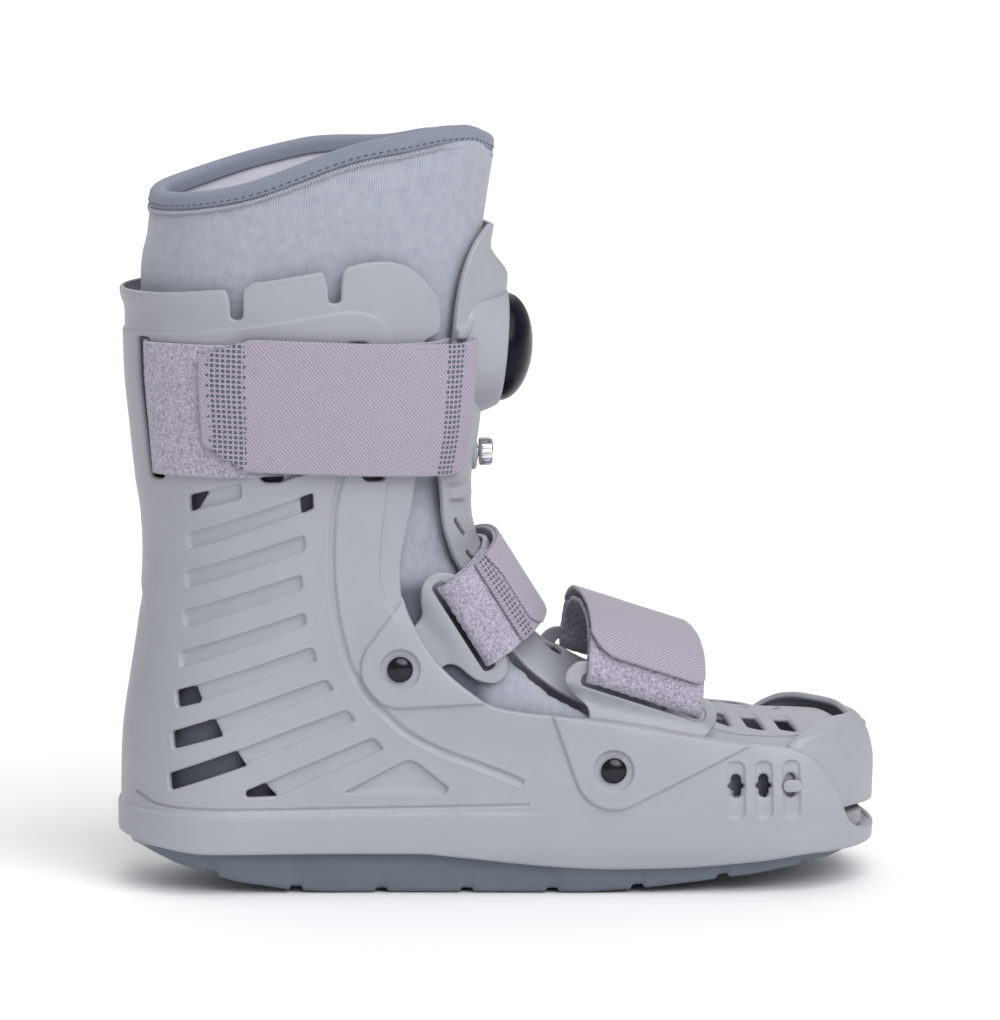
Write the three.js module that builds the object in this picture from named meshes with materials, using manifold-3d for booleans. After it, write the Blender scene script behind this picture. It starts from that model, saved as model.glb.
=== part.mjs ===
// A short pneumatic walking boot, in millimetres: +X runs from heel to toe, +Z is up, and the wearer's right is -Y.
// The origin is on the ground, under the middle of the boot's length and width.
import * as THREE from "three";
import { mergeVertices } from "three/addons/utils/BufferGeometryUtils.js";
import Module from "manifold-3d";

const wasm = await Module();
wasm.setup();

// Driving dimensions
const WALL = 2.5; // moulded shell, front plate and toe guard
const GAP = 0.4; // running gap between pieces that touch
const RELIEF = 1.1; // depth of the louvre pockets
const BOSS = 1.4; // height of the rivet bosses
const FLAP = 0.6; // how far the flexible margin lies below the panel
const BAND = 1.3; // how far the base band stands proud of the upper wall
const FLOOR = 22; // top of the moulded foot plate
const FLOOR_UNDER = 19;
const INSOLE = 6.5;
const LINER_OUT = -6.2; // liner's outer face, measured from the shell's outer face
const LINER = 5;
const RIM_DROP = 6.5; // height of the edge binding
const WEB = 1.8; // strap webbing thickness
const CALF_STRAP = { low: 167, high: 219.5 };

// Horizontal sections of the shell's outer face, with the front end running up the instep and shin
const FORM_COLUMNS = ["z", "back", "front", "heel", "ball", "capBack", "capFront"];
const FORM_ROWS = [
  [8, -149.0, 150.0, 42.5, 57.0, 46, 52],
  [20, -150.7, 151.6, 44.0, 60.5, 46, 52],
  [33, -150.7, 152.0, 43.5, 60.0, 46, 52],
  [45, -150.6, 152.0, 42.8, 58.0, 46, 52],
  [57, -150.2, 150.6, 42.2, 55.5, 47, 53],
  [64, -149.6, 128.0, 41.8, 53.0, 48, 58],
  [72, -148.6, 92.0, 41.6, 50.0, 50, 62],
  [82, -147.0, 60.0, 41.4, 47.0, 53, 64],
  [92, -145.4, 38.0, 41.4, 44.5, 57, 66],
  [104, -143.6, 20.0, 41.6, 43.0, 61, 66],
  [118, -142.3, 6.0, 42.2, 42.6, 64, 66],
  [134, -141.6, -5.0, 43.2, 43.2, 66, 66],
  [148, -142.2, -10.0, 44.4, 44.4, 66, 65],
  [162, -144.2, -10.5, 46.0, 46.0, 67, 65],
  [184, -146.4, -7.0, 48.6, 48.6, 70, 68],
  [207, -148.4, -5.0, 50.6, 50.6, 72, 70],
  [228, -148.8, -3.8, 52.2, 52.2, 73, 71],
  [240, -148.0, -2.8, 53.0, 53.0, 73, 72],
  [256, -145.4, -1.0, 53.2, 53.2, 72, 72],
  [272, -143.2, 1.4, 52.6, 52.6, 72, 72],
  [306, -140.8, 5.0, 52.0, 52.0, 72, 72],
];
const ROUND = 2.3; // superellipse power of both end caps

// Side view of the shell's upper edge, from the heel's lip over the calf and down to the toe: x, z
const EDGE_BACK = [[-160, 238.2], [-134, 239.1], [-114.5, 240.8]];
const NOTCHES = [
  { x: -107.2, bottom: 229.2, left: -112, right: -104.8, top: 241.4 },
  { x: -68.4, bottom: 235.6, left: -73.6, right: -65.2, top: 248.4 },
];
const EDGE_MIDDLE = [[-103, 243.4], [-94, 244.6], [-76, 247.6]];
const EDGE_FRONT = [
  [-63, 249.8], [-56, 251.3], [-48.6, 251.7], [-40.8, 250.2], [-35, 246.8], [-29.7, 241.3], [-25.6, 234.6],
  [-25, 227.6], [-25.6, 222], [-31.5, 219.6], [-34.8, 166.3], [-36.4, 154.7], [-39.1, 142.1], [-41.2, 131.5], [-41.4, 120.9],
  [-39.7, 113.4], [-37, 107], [-32.3, 98.4], [-24.9, 89.2], [-15.4, 81.1], [-6.9, 75.6], [4.8, 72.9], [17, 71.6],
  [32, 70.2], [54.2, 67], [69.4, 64], [82.3, 61.9], [94.2, 60.2], [104, 59.2], [112.6, 57.2], [118.6, 54.6],
  [123.7, 50], [127.9, 44.4], [132.2, 36.8], [137, 26.4], [147, 21.8], [160, 21.6],
];
// Lower edge of the shell's skirt and the rocker line of the sole: x, z
const SKIRT = [[160, 14.5], [140, 15.5], [122, 15.6], [96.5, 13], [66, 10.8], [40.5, 10.4], [16, 11.6], [3, 13], [-20, 15.6],
  [-36, 17], [-120, 17.3], [-136, 19], [-146, 21], [-160, 22]];
const ROCKER = [[-160, 24], [-147, 19], [-131, 12], [-107, 4.8], [-86, 1.2], [-70, 0], [32, 0], [53, 1.6], [96, 6.8], [127, 12.2],
  [142, 16.4], [160, 22]];
const TREAD_GROOVES = { first: -117, pitch: 33.6, count: 8, width: 6, depth: 1.8 };

// Louvre pockets on the shell's heel: corner points x, z, and the ends that are cut right through
const LOUVRES = [
  [[-125.1, 159.2], [-104.8, 165.3], [-104.5, 158.5], [-124.9, 152.5]],
  [[-91, 171.5], [-67, 181], [-67, 174], [-90.7, 164.5]],
  [[-125.8, 143.7], [-76.9, 160.7], [-76.6, 154.4], [-125, 137.1]],
  [[-126.4, 128.6], [-79.9, 144.2], [-79.5, 137.7], [-126, 121.6]],
  [[-127.6, 113], [-81.2, 128.4], [-80.5, 122.3], [-126.8, 106]],
  [[-128.8, 96.9], [-79.8, 113.1], [-79.2, 107.8], [-128.9, 90.2]],
  [[-130.6, 81.4], [-76.8, 99.4], [-74.9, 93.5], [-130.1, 74.7]],
  [[-132.4, 65.3], [-71.3, 86.6], [-68.3, 82], [-131.9, 58.5]],
  [[-133.8, 48.8], [-63.4, 74.5], [-59.8, 69.8], [-133.3, 42.1]],
  [[-103.6, 42.4], [-53.2, 63.4], [-48.9, 58.6], [-90.6, 40.2], [-103.4, 39.9]],
  [[-66, 41.1], [-40, 54.6], [-36, 53.2], [-23.4, 43], [-25.6, 40.5]],
];
const VENTS = [
  [[-125.1, 159.2], [-117.9, 161.3], [-122.4, 153.3], [-124.9, 152.5]],
  [[-83, 174.9], [-67, 181], [-67, 174], [-82.7, 167.7]],
  [[-82, 158.9], [-76.9, 160.7], [-76.6, 154.4], [-81.3, 152.5]],
  [[-130.6, 81.4], [-123.3, 83.8], [-120.9, 77.3], [-130.1, 74.7]],
  [[-132.4, 65.3], [-116, 71], [-112.4, 64.2], [-131.9, 58.5]],
  [[-133.8, 48.8], [-107.1, 58.5], [-103, 52.4], [-133.3, 42.1]],
  [[-103.6, 42.4], [-95.9, 45.6], [-91.2, 40.2], [-103.4, 39.9]],
];
const STRAP_SLOTS = [{ x: -140.5, width: 10 }, { x: -97.4, width: 9.5 }, { x: -56.8, width: 9.5 }];
const PANEL = [[-136, 222.2], [-103.5, 225.5], [-63.4, 231.8], [-54.3, 230.6], [-48.5, 226.6], [-45.7, 220.9], [-47.5, 166],
  [-49.9, 144.3], [-51.1, 128.5], [-49.2, 117], [-39, 100], [-140, 100], [-152, 222]];
const RIB = [[-64.6, 176], [-67.1, 168.8], [-70.7, 150], [-71.2, 130.9], [-70.2, 118.2], [-68.1, 105.5], [-64.4, 91.8],
  [-59, 82], [-50.2, 71.7], [-40.8, 63.3], [-27.1, 55.9], [-14.5, 51.2], [-2.4, 46.6], [5, 43.4]];
const RIB_WIDTH = 3;

// Rivets at the strap arms, with the bosses round them drawn out to the two tips: x, z
const RIVETS = [
  { name: "ankle", x: -42.8, z: 90.2, tips: [[-38, 123], [-2, 76.4]] },
  { name: "forefoot", x: 40.7, z: 50.1, tips: [[15.8, 73], [96.5, 59.4]] },
];
const BOSS_RADIUS = 16;
const COUNTERBORE = { radius: 8, depth: 1 };
const RIVET = { head: 5.1, dome: 2.6, shank: 2.2, hole: 2.6, tail: 3.6 };
const KEYHOLES = { xs: [89, 100, 111.2], z: 43.4, tilt: 0.02, half: 2, reach: 4.5, pip: 3.3, pocket: 3.5, top: 53.2, low: 30.8 };

// Stations down the front plate: crown x, z, then the arc's half width and drop, and how far round it runs in degrees
const PLATE_COLUMNS = ["x", "z", "wide", "drop", "turn"];
const PLATE_ROWS = [
  [-1.2, 262, 49, 49, 19],
  [-2.4, 255, 49, 49, 33],
  [-3.2, 245, 49, 49, 41],
  [-4, 232, 49, 49, 45],
  [-4.8, 217.5, 49, 49, 46.5],
  [-5.2, 207, 48, 48, 50],
  [-6.9, 184, 47, 47, 50],
  [-9.6, 168, 46, 46, 50],
  [-10.4, 160.5, 45, 45, 47],
  [-10.4, 150, 44, 44, 46],
  [-8.4, 139, 43, 42, 45],
  [-2.8, 128.6, 42, 40, 46],
  [6, 114, 41, 36, 50],
  [15.5, 101, 42, 32, 54],
  [29, 89.5, 44, 27, 58],
  [46, 81.4, 47, 23, 62],
  [64, 74.6, 49, 19, 65],
  [82, 68.8, 50, 16, 67],
  [97, 65, 50, 13.5, 68],
  [116, 63.2, 48, 11, 67],
  [132, 62.6, 40, 9, 66],
  [139.5, 59.6, 28, 7, 60],
];
const SLITS = [[[-18, 142.8], [-13.6, 136.2]], [[-13.2, 131.6], [-9.4, 126.4]]];
const PLATE_VENTS = { xs: [61, 74, 87, 100, 113], width: 6.2, near: 11, far: 33 };
const BULB = { x: -4.4, z: 213.4, tilt: 0.09, radius: 21.7, rise: 12, ring: 23.6, root: 25.4, height: 6.6 };
const VALVE = { z: 170.8, base: -9.4, boss: 1.1, face: -1.8, radius: 5.7, stem: 2, collar: 3.2 };

// Toe guard: sections along its plan curve, by share of the way from the arm's end to the toe
const GUARD_ROWS = [
  { at: 0, low: 33, crease: 50, top: 51.5, lean: 0.6 },
  { at: 0.12, low: 31, crease: 56.4, top: 57.8, lean: 1 },
  { at: 0.2, low: 31, crease: 60, top: 61.5, lean: 3 },
  { at: 0.32, low: 31, crease: 62.2, top: 64.8, lean: 6 },
  { at: 0.5, low: 31, crease: 63.2, top: 66.2, lean: 8 },
  { at: 0.75, low: 30.4, crease: 62.4, top: 65.8, lean: 8 },
  { at: 1, low: 30, crease: 61, top: 64.4, lean: 7.5 },
];
const GUARD = { start: 2.04, level: 58, room: 0.95 };

// Small numeric helpers

function lerp(a, b, t) {
  return a + (b - a) * t;
}

function smooth(low, high, value) {
  const t = Math.min(1, Math.max(0, (value - low) / (high - low)));
  return t * t * (3 - 2 * t);
}

// Smooth monotone interpolation through rows whose first column rises, giving the other columns by name
function interpolate(rows, columns, value) {
  const last = rows.length - 1;
  const clamped = Math.min(rows[last][0], Math.max(rows[0][0], value));
  let i = 0;
  while (i < last - 1 && rows[i + 1][0] < clamped) i += 1;
  const slope = (j, c) => (rows[j + 1][c] - rows[j][c]) / (rows[j + 1][0] - rows[j][0]);
  const tangent = (j, c) => {
    if (j === 0) return slope(0, c);
    if (j === last) return slope(last - 1, c);
    const before = slope(j - 1, c);
    const after = slope(j, c);
    return before * after <= 0 ? 0 : (2 * before * after) / (before + after);
  };
  const span = rows[i + 1][0] - rows[i][0];
  const t = (clamped - rows[i][0]) / span;
  const result = { [columns[0]]: value };
  for (let c = 1; c < columns.length; c += 1) {
    result[columns[c]] =
      (2 * t ** 3 - 3 * t ** 2 + 1) * rows[i][c] +
      (t ** 3 - 2 * t ** 2 + t) * span * tangent(i, c) +
      (3 * t ** 2 - 2 * t ** 3) * rows[i + 1][c] +
      (t ** 3 - t ** 2) * span * tangent(i + 1, c);
  }
  return result;
}

// The boot's form: half width of a horizontal section at x, and points round it

function section(z, offset) {
  const row = interpolate(FORM_ROWS, FORM_COLUMNS, z);
  return {
    back: row.back - offset,
    front: row.front + offset,
    heel: row.heel + offset,
    ball: row.ball + offset,
    capBack: row.capBack + offset,
    capFront: row.capFront + offset,
  };
}

// How far the base band and the heel's lip stand out from the plain form
function standOut(x, z) {
  const band = BAND * (1 - smooth(32.4, 33.8, z)) * (1 - smooth(-20, 25, x));
  const lip = 2.4 * smooth(229, 237, z) * (1 - smooth(-138, -110, x));
  return band + lip;
}

function sectionPoint(s, share) {
  const power = 2 / ROUND;
  const rear = s.back + s.capBack;
  const fore = s.front - s.capFront;
  if (share <= 1) {
    const a = (share * Math.PI) / 2;
    return [rear - s.capBack * Math.cos(a) ** power, s.heel * Math.sin(a) ** power];
  }
  if (share <= 2) {
    const t = share - 1;
    return [lerp(rear, fore, t), lerp(s.heel, s.ball, smooth(0, 1, t))];
  }
  const a = ((share - 2) * Math.PI) / 2;
  return [fore + s.capFront * Math.sin(a) ** power, s.ball * Math.max(0, Math.cos(a)) ** power];
}

function halfWidth(x, z, offset = 0) {
  const s = section(z, offset);
  const rear = s.back + s.capBack;
  const fore = s.front - s.capFront;
  const cap = (distance, length) => Math.max(0, 1 - Math.min(1, Math.max(0, distance / length)) ** ROUND) ** (1 / ROUND);
  if (x < rear) return s.heel * cap(rear - x, s.capBack);
  if (x > fore) return s.ball * cap(x - fore, s.capFront);
  return lerp(s.heel, s.ball, smooth(0, 1, (x - rear) / Math.max(1e-6, fore - rear)));
}

// Shares of the way from heel to toe at which each section is sampled
const CAP_STEPS = 7;
const MIDDLE_STEPS = 4;
const SHARES = [
  ...Array.from({ length: CAP_STEPS }, (_, i) => i / CAP_STEPS),
  ...Array.from({ length: MIDDLE_STEPS }, (_, i) => 1 + i / MIDDLE_STEPS),
  ...Array.from({ length: CAP_STEPS + 1 }, (_, i) => 2 + i / CAP_STEPS),
];

function formRing(z, offset, proud = false) {
  const right = SHARES.map((share) => {
    const [x, w] = sectionPoint(section(z, offset), share);
    const out = proud ? standOut(x, z) : 0;
    const [px, pw] = out ? sectionPoint(section(z, offset + out), share) : [x, w];
    return new THREE.Vector3(px, -pw, z);
  });
  const left = right.slice(1, -1).reverse().map((p) => new THREE.Vector3(p.x, -p.y, p.z));
  return [...right, ...left];
}

// Geometry helpers

function triangleGeometry(points, faces) {
  const geometry = new THREE.BufferGeometry();
  geometry.setAttribute("position", new THREE.Float32BufferAttribute(points.flatMap((p) => [p.x, p.y, p.z]), 3));
  geometry.setIndex(faces.flat());
  return geometry;
}

// A closed body through rings of points that all have the same count
function loftGeometry(rings, closed = false) {
  const count = rings[0].length;
  const faces = [];
  const rounds = closed ? rings.length : rings.length - 1;
  for (let r = 0; r < rounds; r += 1) {
    const next = (r + 1) % rings.length;
    for (let i = 0; i < count; i += 1) {
      const j = (i + 1) % count;
      faces.push([r * count + i, r * count + j, next * count + j], [r * count + i, next * count + j, next * count + i]);
    }
  }
  if (!closed) {
    const last = (rings.length - 1) * count;
    for (const [start, ring, flip] of [[0, rings[0], true], [last, rings[rings.length - 1], false]]) {
      const centre = ring.reduce((sum, p) => sum.add(p), new THREE.Vector3()).divideScalar(count);
      const normal = new THREE.Vector3();
      ring.forEach((p, i) => {
        const q = ring[(i + 1) % count];
        normal.add(p.clone().sub(centre).cross(q.clone().sub(centre)));
      });
      const u = ring[0].clone().sub(centre).projectOnPlane(normal.clone().normalize()).normalize();
      const v = normal.clone().normalize().cross(u);
      const flat = ring.map((p) => new THREE.Vector2(p.clone().sub(centre).dot(u), p.clone().sub(centre).dot(v)));
      for (const [a, b, c] of THREE.ShapeUtils.triangulateShape(flat, [])) {
        faces.push(flip ? [start + a, start + c, start + b] : [start + a, start + b, start + c]);
      }
    }
  }
  return triangleGeometry(rings.flat(), faces);
}

function solid(geometry) {
  const bare = geometry.index ? geometry.toNonIndexed() : geometry.clone();
  for (const name of Object.keys(bare.attributes)) if (name !== "position") bare.deleteAttribute(name);
  const merged = mergeVertices(bare, 1e-4);
  const triVerts = new Uint32Array(merged.index.array);
  const made = () => new wasm.Manifold(new wasm.Mesh({ numProp: 3, vertProperties: merged.attributes.position.array, triVerts }));
  const first = made();
  if (first.volume() >= 0) return first;
  for (let i = 0; i < triVerts.length; i += 3) [triVerts[i + 1], triVerts[i + 2]] = [triVerts[i + 2], triVerts[i + 1]];
  return made();
}

function geometryOf(manifold) {
  const mesh = manifold.getMesh();
  const geometry = new THREE.BufferGeometry();
  const points = [];
  for (let i = 0; i < mesh.numVert; i += 1) points.push(...mesh.vertProperties.slice(i * mesh.numProp, i * mesh.numProp + 3));
  geometry.setAttribute("position", new THREE.Float32BufferAttribute(points, 3));
  geometry.setIndex([...mesh.triVerts]);
  return geometry;
}

function union(parts) {
  return parts.reduce((sum, part) => sum.add(part));
}

function roundedShape(points, radius) {
  const shape = new THREE.Shape();
  const corners = points.map(([x, z]) => new THREE.Vector2(x, z));
  corners.forEach((corner, i) => {
    const before = corners[(i + corners.length - 1) % corners.length];
    const after = corners[(i + 1) % corners.length];
    const reach = Math.min(radius, 0.45 * corner.distanceTo(before), 0.45 * corner.distanceTo(after));
    const start = corner.clone().lerp(before, reach / corner.distanceTo(before));
    const end = corner.clone().lerp(after, reach / corner.distanceTo(after));
    if (i === 0) shape.moveTo(start.x, start.y);
    else shape.lineTo(start.x, start.y);
    if (radius > 0) shape.quadraticCurveTo(corner.x, corner.y, end.x, end.y);
  });
  shape.closePath();
  return shape;
}

// A prism across the boot, from a shape drawn in side view (x, z), over a range of y
function sidePrism(shape, from, to, segments = 2) {
  const geometry = new THREE.ExtrudeGeometry(shape, { depth: to - from, bevelEnabled: false, curveSegments: segments });
  geometry.rotateX(Math.PI / 2);
  geometry.translate(0, to, 0);
  return solid(geometry);
}

function throughPrism(points, radius = 0, segments = 2) {
  return sidePrism(roundedShape(points, radius), -80, 80, segments);
}

function circleShape(x, z, radius) {
  const shape = new THREE.Shape();
  shape.absarc(x, z, radius, 0, 2 * Math.PI);
  return shape;
}

// A band of constant width along an open line in side view
function bandPoints(line, width) {
  const curve = line.map(([x, z]) => new THREE.Vector2(x, z));
  const sides = [[], []];
  curve.forEach((p, i) => {
    const before = curve[Math.max(0, i - 1)];
    const after = curve[Math.min(curve.length - 1, i + 1)];
    const along = after.clone().sub(before).normalize();
    sides[0].push([p.x, p.y]);
    sides[1].push([p.x - along.y * width, p.y + along.x * width]);
  });
  return [...sides[0], ...sides[1].reverse()];
}

// Outline round a circle and two tips, as a flat triangle with one round corner
function bossPoints({ x, z, tips }, radius) {
  const points = [];
  for (const [index, tip] of tips.entries()) {
    const dx = tip[0] - x;
    const dz = tip[1] - z;
    const spread = Math.acos(radius / Math.hypot(dx, dz));
    const angle = Math.atan2(dz, dx) + (index === 0 ? spread : -spread);
    points.push({ tip, angle });
  }
  const [first, second] = points;
  let sweep = second.angle - first.angle;
  while (sweep <= 0) sweep += 2 * Math.PI;
  const steps = 7;
  const arc = Array.from({ length: steps + 1 }, (_, i) => {
    const a = first.angle + (sweep * i) / steps;
    return [x + radius * Math.cos(a), z + radius * Math.sin(a)];
  });
  return [first.tip, ...arc, second.tip];
}

const LEVELS = [20, 32.4, 33.8, 46, 57, 64, 72, 84, 104, 134, 160, 207, 230, 237];

function formSolid(low, high, offset, proud = false) {
  const levels = [low, ...LEVELS.filter((z) => z > low + 1 && z < high - 1), high];
  return solid(loftGeometry(levels.map((z) => formRing(z, offset, proud))));
}

// The moulded shell

function shellProfile() {
  const notch = ({ x, bottom, left, right, top }) => [
    [left, top - 0.8], [left + 1.2, top - 3], [x - 2.4, bottom + 3], [x - 1.6, bottom + 0.7], [x, bottom],
    [x + 1.7, bottom + 0.7], [x + 2.4, bottom + 3], [right, top - 1.6], [right + 1.4, top + 1.4],
  ];
  return [...EDGE_BACK, ...notch(NOTCHES[0]), ...EDGE_MIDDLE, ...notch(NOTCHES[1]), ...EDGE_FRONT, ...SKIRT];
}

function keyholePoints(x) {
  const { z, half, reach, pip } = KEYHOLES;
  const round = (side) => [[-1, 0.55], [-0.6, 0.9], [0.6, 0.9], [1, 0.55]].map(([u, v]) => [x + side * u * half, z + side * v * reach]);
  return [[x - pip, z], [x - half, z + 1.2], ...round(1), [x + half, z + 1.2], [x + pip, z], [x + half, z - 1.2],
    ...round(-1), [x - half, z - 1.2]];
}

function makeShell() {
  const outer = formSolid(6, 256, 0, true);
  const inner = formSolid(FLOOR, 262, -WALL);
  const under = formSolid(0, FLOOR_UNDER, -WALL - 0.6);
  const around = formSolid(2, 260, 4);
  const skin = (depth) => around.subtract(formSolid(4, 258, -depth, true));
  const bosses = union(RIVETS.map((rivet) => sidePrism(roundedShape(bossPoints(rivet, BOSS_RADIUS), 0), -80, 80)));
  const raised = formSolid(6, 256, BOSS).intersect(bosses);
  const pockets = union(LOUVRES.map((points) => throughPrism(points, 1.6)));
  const stadium = (x) => throughPrism(
    [[x - KEYHOLES.pocket, KEYHOLES.low], [x - KEYHOLES.pocket, KEYHOLES.top], [x + KEYHOLES.pocket, KEYHOLES.top],
      [x + KEYHOLES.pocket, KEYHOLES.low]], 3.4, 3);
  const stadiums = union(KEYHOLES.xs.map(stadium));
  const profile = throughPrism(shellProfile());
  const flap = sidePrism(roundedShape([[-160, 100], [-160, 270], [0, 270], [0, 100]], 0), -80, 80)
    .subtract(throughPrism(PANEL)).subtract(throughPrism(bandPoints([[-160, 90], [-136, 90]], 132)));
  let shell = outer
    .subtract(skin(RELIEF).intersect(pockets))
    .subtract(skin(0.6).intersect(stadiums))
    .subtract(skin(FLAP).intersect(flap))
    .subtract(skin(0.7).intersect(throughPrism(bandPoints(RIB, RIB_WIDTH))))
    .add(raised)
    .subtract(inner)
    .subtract(under)
    .intersect(profile);
  const holes = [
    ...VENTS.map((points) => throughPrism(points, 1.2, 1)),
    ...KEYHOLES.xs.map((x) => throughPrism(keyholePoints(x))),
    ...STRAP_SLOTS.flatMap(({ x, width }) => [-1, 1].map((side) => {
      const middle = side * distanceAt(x);
      return calfRibbon([[middle, -9], [middle, 9]], () => CALF_STRAP.low - 2, () => CALF_STRAP.high + 2, width);
    })),
    ...RIVETS.map(({ x, z }) => sidePrism(circleShape(x, z, RIVET.hole), -80, 80, 8)),
  ];
  shell = shell.subtract(union(holes));
  const bores = RIVETS.flatMap(({ x, z }) => {
    const seat = halfWidth(x, z) + BOSS - COUNTERBORE.depth;
    return [sidePrism(circleShape(x, z, COUNTERBORE.radius), -90, -seat, 12), sidePrism(circleShape(x, z, COUNTERBORE.radius), seat, 90, 12)];
  });
  return shell.subtract(union(bores));
}

// The rubber sole, with a rocker underside and cross grooves

function makeSole() {
  const levels = [[-1, -7.5], [4, -6.6], [10, -4.6], [FLOOR_UNDER - GAP, -WALL - 1]];
  const body = solid(loftGeometry(levels.map(([z, offset]) => formRing(Math.max(8, z), offset).map((p) => p.setZ(z)))));
  const cut = throughPrism([...ROCKER, [160, 40], [-160, 40]]);
  const { first, pitch, count, width, depth } = TREAD_GROOVES;
  const grooves = Array.from({ length: count }, (_, i) => {
    const x = first + i * pitch;
    const under = ROCKER.findIndex(([px]) => px > x);
    const [x0, z0] = ROCKER[under - 1];
    const [x1, z1] = ROCKER[under];
    const z = lerp(z0, z1, (x - x0) / (x1 - x0));
    return throughPrism([[x - width / 2, -5], [x - width / 2 + 1.2, z + depth], [x + width / 2 - 1.2, z + depth], [x + width / 2, -5]]);
  });
  return body.intersect(cut).subtract(union(grooves));
}

function makeInsole() {
  const low = FLOOR + 0.3;
  const rings = [low, low + INSOLE - 0.8, low + INSOLE].map((z, i) => formRing(z, -WALL - 1.2 - (i === 2 ? 1 : 0)));
  return solid(loftGeometry(rings)).intersect(throughPrism([[-160, 10], [-160, 40], [145.6, 40], [145.6, 10]]));
}

// The padded liner: one closed form with the leg's and foot's hollow taken out

const RIM = [[-146, 272], [-140, 275], [-132, 278.6], [-118, 282.6], [-97, 288.6], [-78, 293], [-60, 296.6], [-44, 299.4],
  [-24, 302.6], [-17, 303], [-10.7, 300], [-2, 290], [10, 276]];

function rimHeight(x) {
  const i = Math.min(RIM.length - 2, Math.max(0, RIM.findIndex(([px]) => px > x) - 1));
  const [x0, z0] = RIM[i];
  const [x1, z1] = RIM[i + 1];
  return lerp(z0, z1, Math.min(1, Math.max(0, (x - x0) / (x1 - x0))));
}

const LINER_LEVELS = [46, 57, 64, 72, 84, 104, 134, 160, 207, 237, 270];
const LINER_SOLE = FLOOR + INSOLE + 0.7;

function linerSolid(low, high, offset) {
  const levels = [low, ...LINER_LEVELS.filter((z) => z > low + 1 && z < high - 1), high];
  return solid(loftGeometry(levels.map((z, i) => formRing(Math.max(z, 40), offset - (i === 0 ? 3 : 0)).map((p) => p.setZ(z)))));
}

function makeLiner(plateRoom) {
  const outer = linerSolid(LINER_SOLE, 306, LINER_OUT);
  const inner = linerSolid(LINER_SOLE + 4, 312, LINER_OUT - LINER);
  const under = RIM.map(([x, z]) => [x, z - RIM_DROP - (x > -30 ? 3.4 : 0.7)]);
  const keep = throughPrism([[-160, under[0][1]], ...under, [30, 262], [30, 180], [106, 90], [106, 20], [-160, 20]]);
  return outer.subtract(plateRoom).subtract(inner).intersect(keep);
}

function makeBinding() {
  const steps = 44;
  const rings = Array.from({ length: steps }, (_, i) => {
    const turn = (i / steps) * 2;
    const side = turn <= 1 ? -1 : 1;
    const share = (turn <= 1 ? turn : 2 - turn) * 3;
    const at = (offset, drop) => {
      const [x0, w0] = sectionPoint(section(285, LINER_OUT - LINER / 2), share);
      const z = rimHeight(x0) - drop;
      const [x, w] = sectionPoint(section(z, LINER_OUT - LINER / 2 + offset), share);
      return new THREE.Vector3(x, side * w, z);
    };
    const half = LINER / 2 + 0.8;
    return [at(-half, RIM_DROP), at(half, RIM_DROP), at(half, 2.2), at(half - 1.6, 0.3), at(1.6 - half, 0.3), at(-half, 2.2)];
  });
  return solid(loftGeometry(rings, true));
}

// The front plate: a sheet that runs down the shin and over the foot

function plateStation(t) {
  const rows = PLATE_ROWS.map((row, i) => [i, ...row]);
  return interpolate(rows, ["t", ...PLATE_COLUMNS], t);
}

function platePoint(t, turn, out) {
  const row = plateStation(t);
  const before = plateStation(Math.max(0, t - 0.3));
  const after = plateStation(Math.min(PLATE_ROWS.length - 1, t + 0.3));
  const along = new THREE.Vector3(after.x - before.x, 0, after.z - before.z).normalize();
  const outward = new THREE.Vector3(-along.z, 0, along.x);
  const angle = THREE.MathUtils.degToRad(turn * row.turn);
  const y = (row.wide + out) * Math.sin(angle);
  const drop = (row.drop + out) * (1 - Math.cos(angle)) - out;
  return new THREE.Vector3(row.x, y, row.z).addScaledVector(outward, -drop);
}

function plateSheet(outside, inside, margin = 0) {
  const rings = [];
  const last = PLATE_ROWS.length - 1;
  const across = 8;
  const steps = Array.from({ length: last + 1 }, (_, i) => i);
  for (const t of steps) {
    const ring = [];
    for (let i = 0; i <= across; i += 1) ring.push(platePoint(t, (1 + margin) * ((2 * i) / across - 1), outside));
    for (let i = across; i >= 0; i -= 1) ring.push(platePoint(t, (1 + margin) * ((2 * i) / across - 1), inside));
    rings.push(ring);
  }
  return solid(loftGeometry(rings));
}

function turned(geometry, x, z, tilt) {
  geometry.rotateZ(-Math.PI / 2);
  geometry.rotateY(tilt);
  geometry.translate(x, 0, z);
  return solid(geometry);
}

function lathe(profile, segments) {
  return new THREE.LatheGeometry(profile.map(([r, h]) => new THREE.Vector2(r, h)), segments);
}

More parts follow.
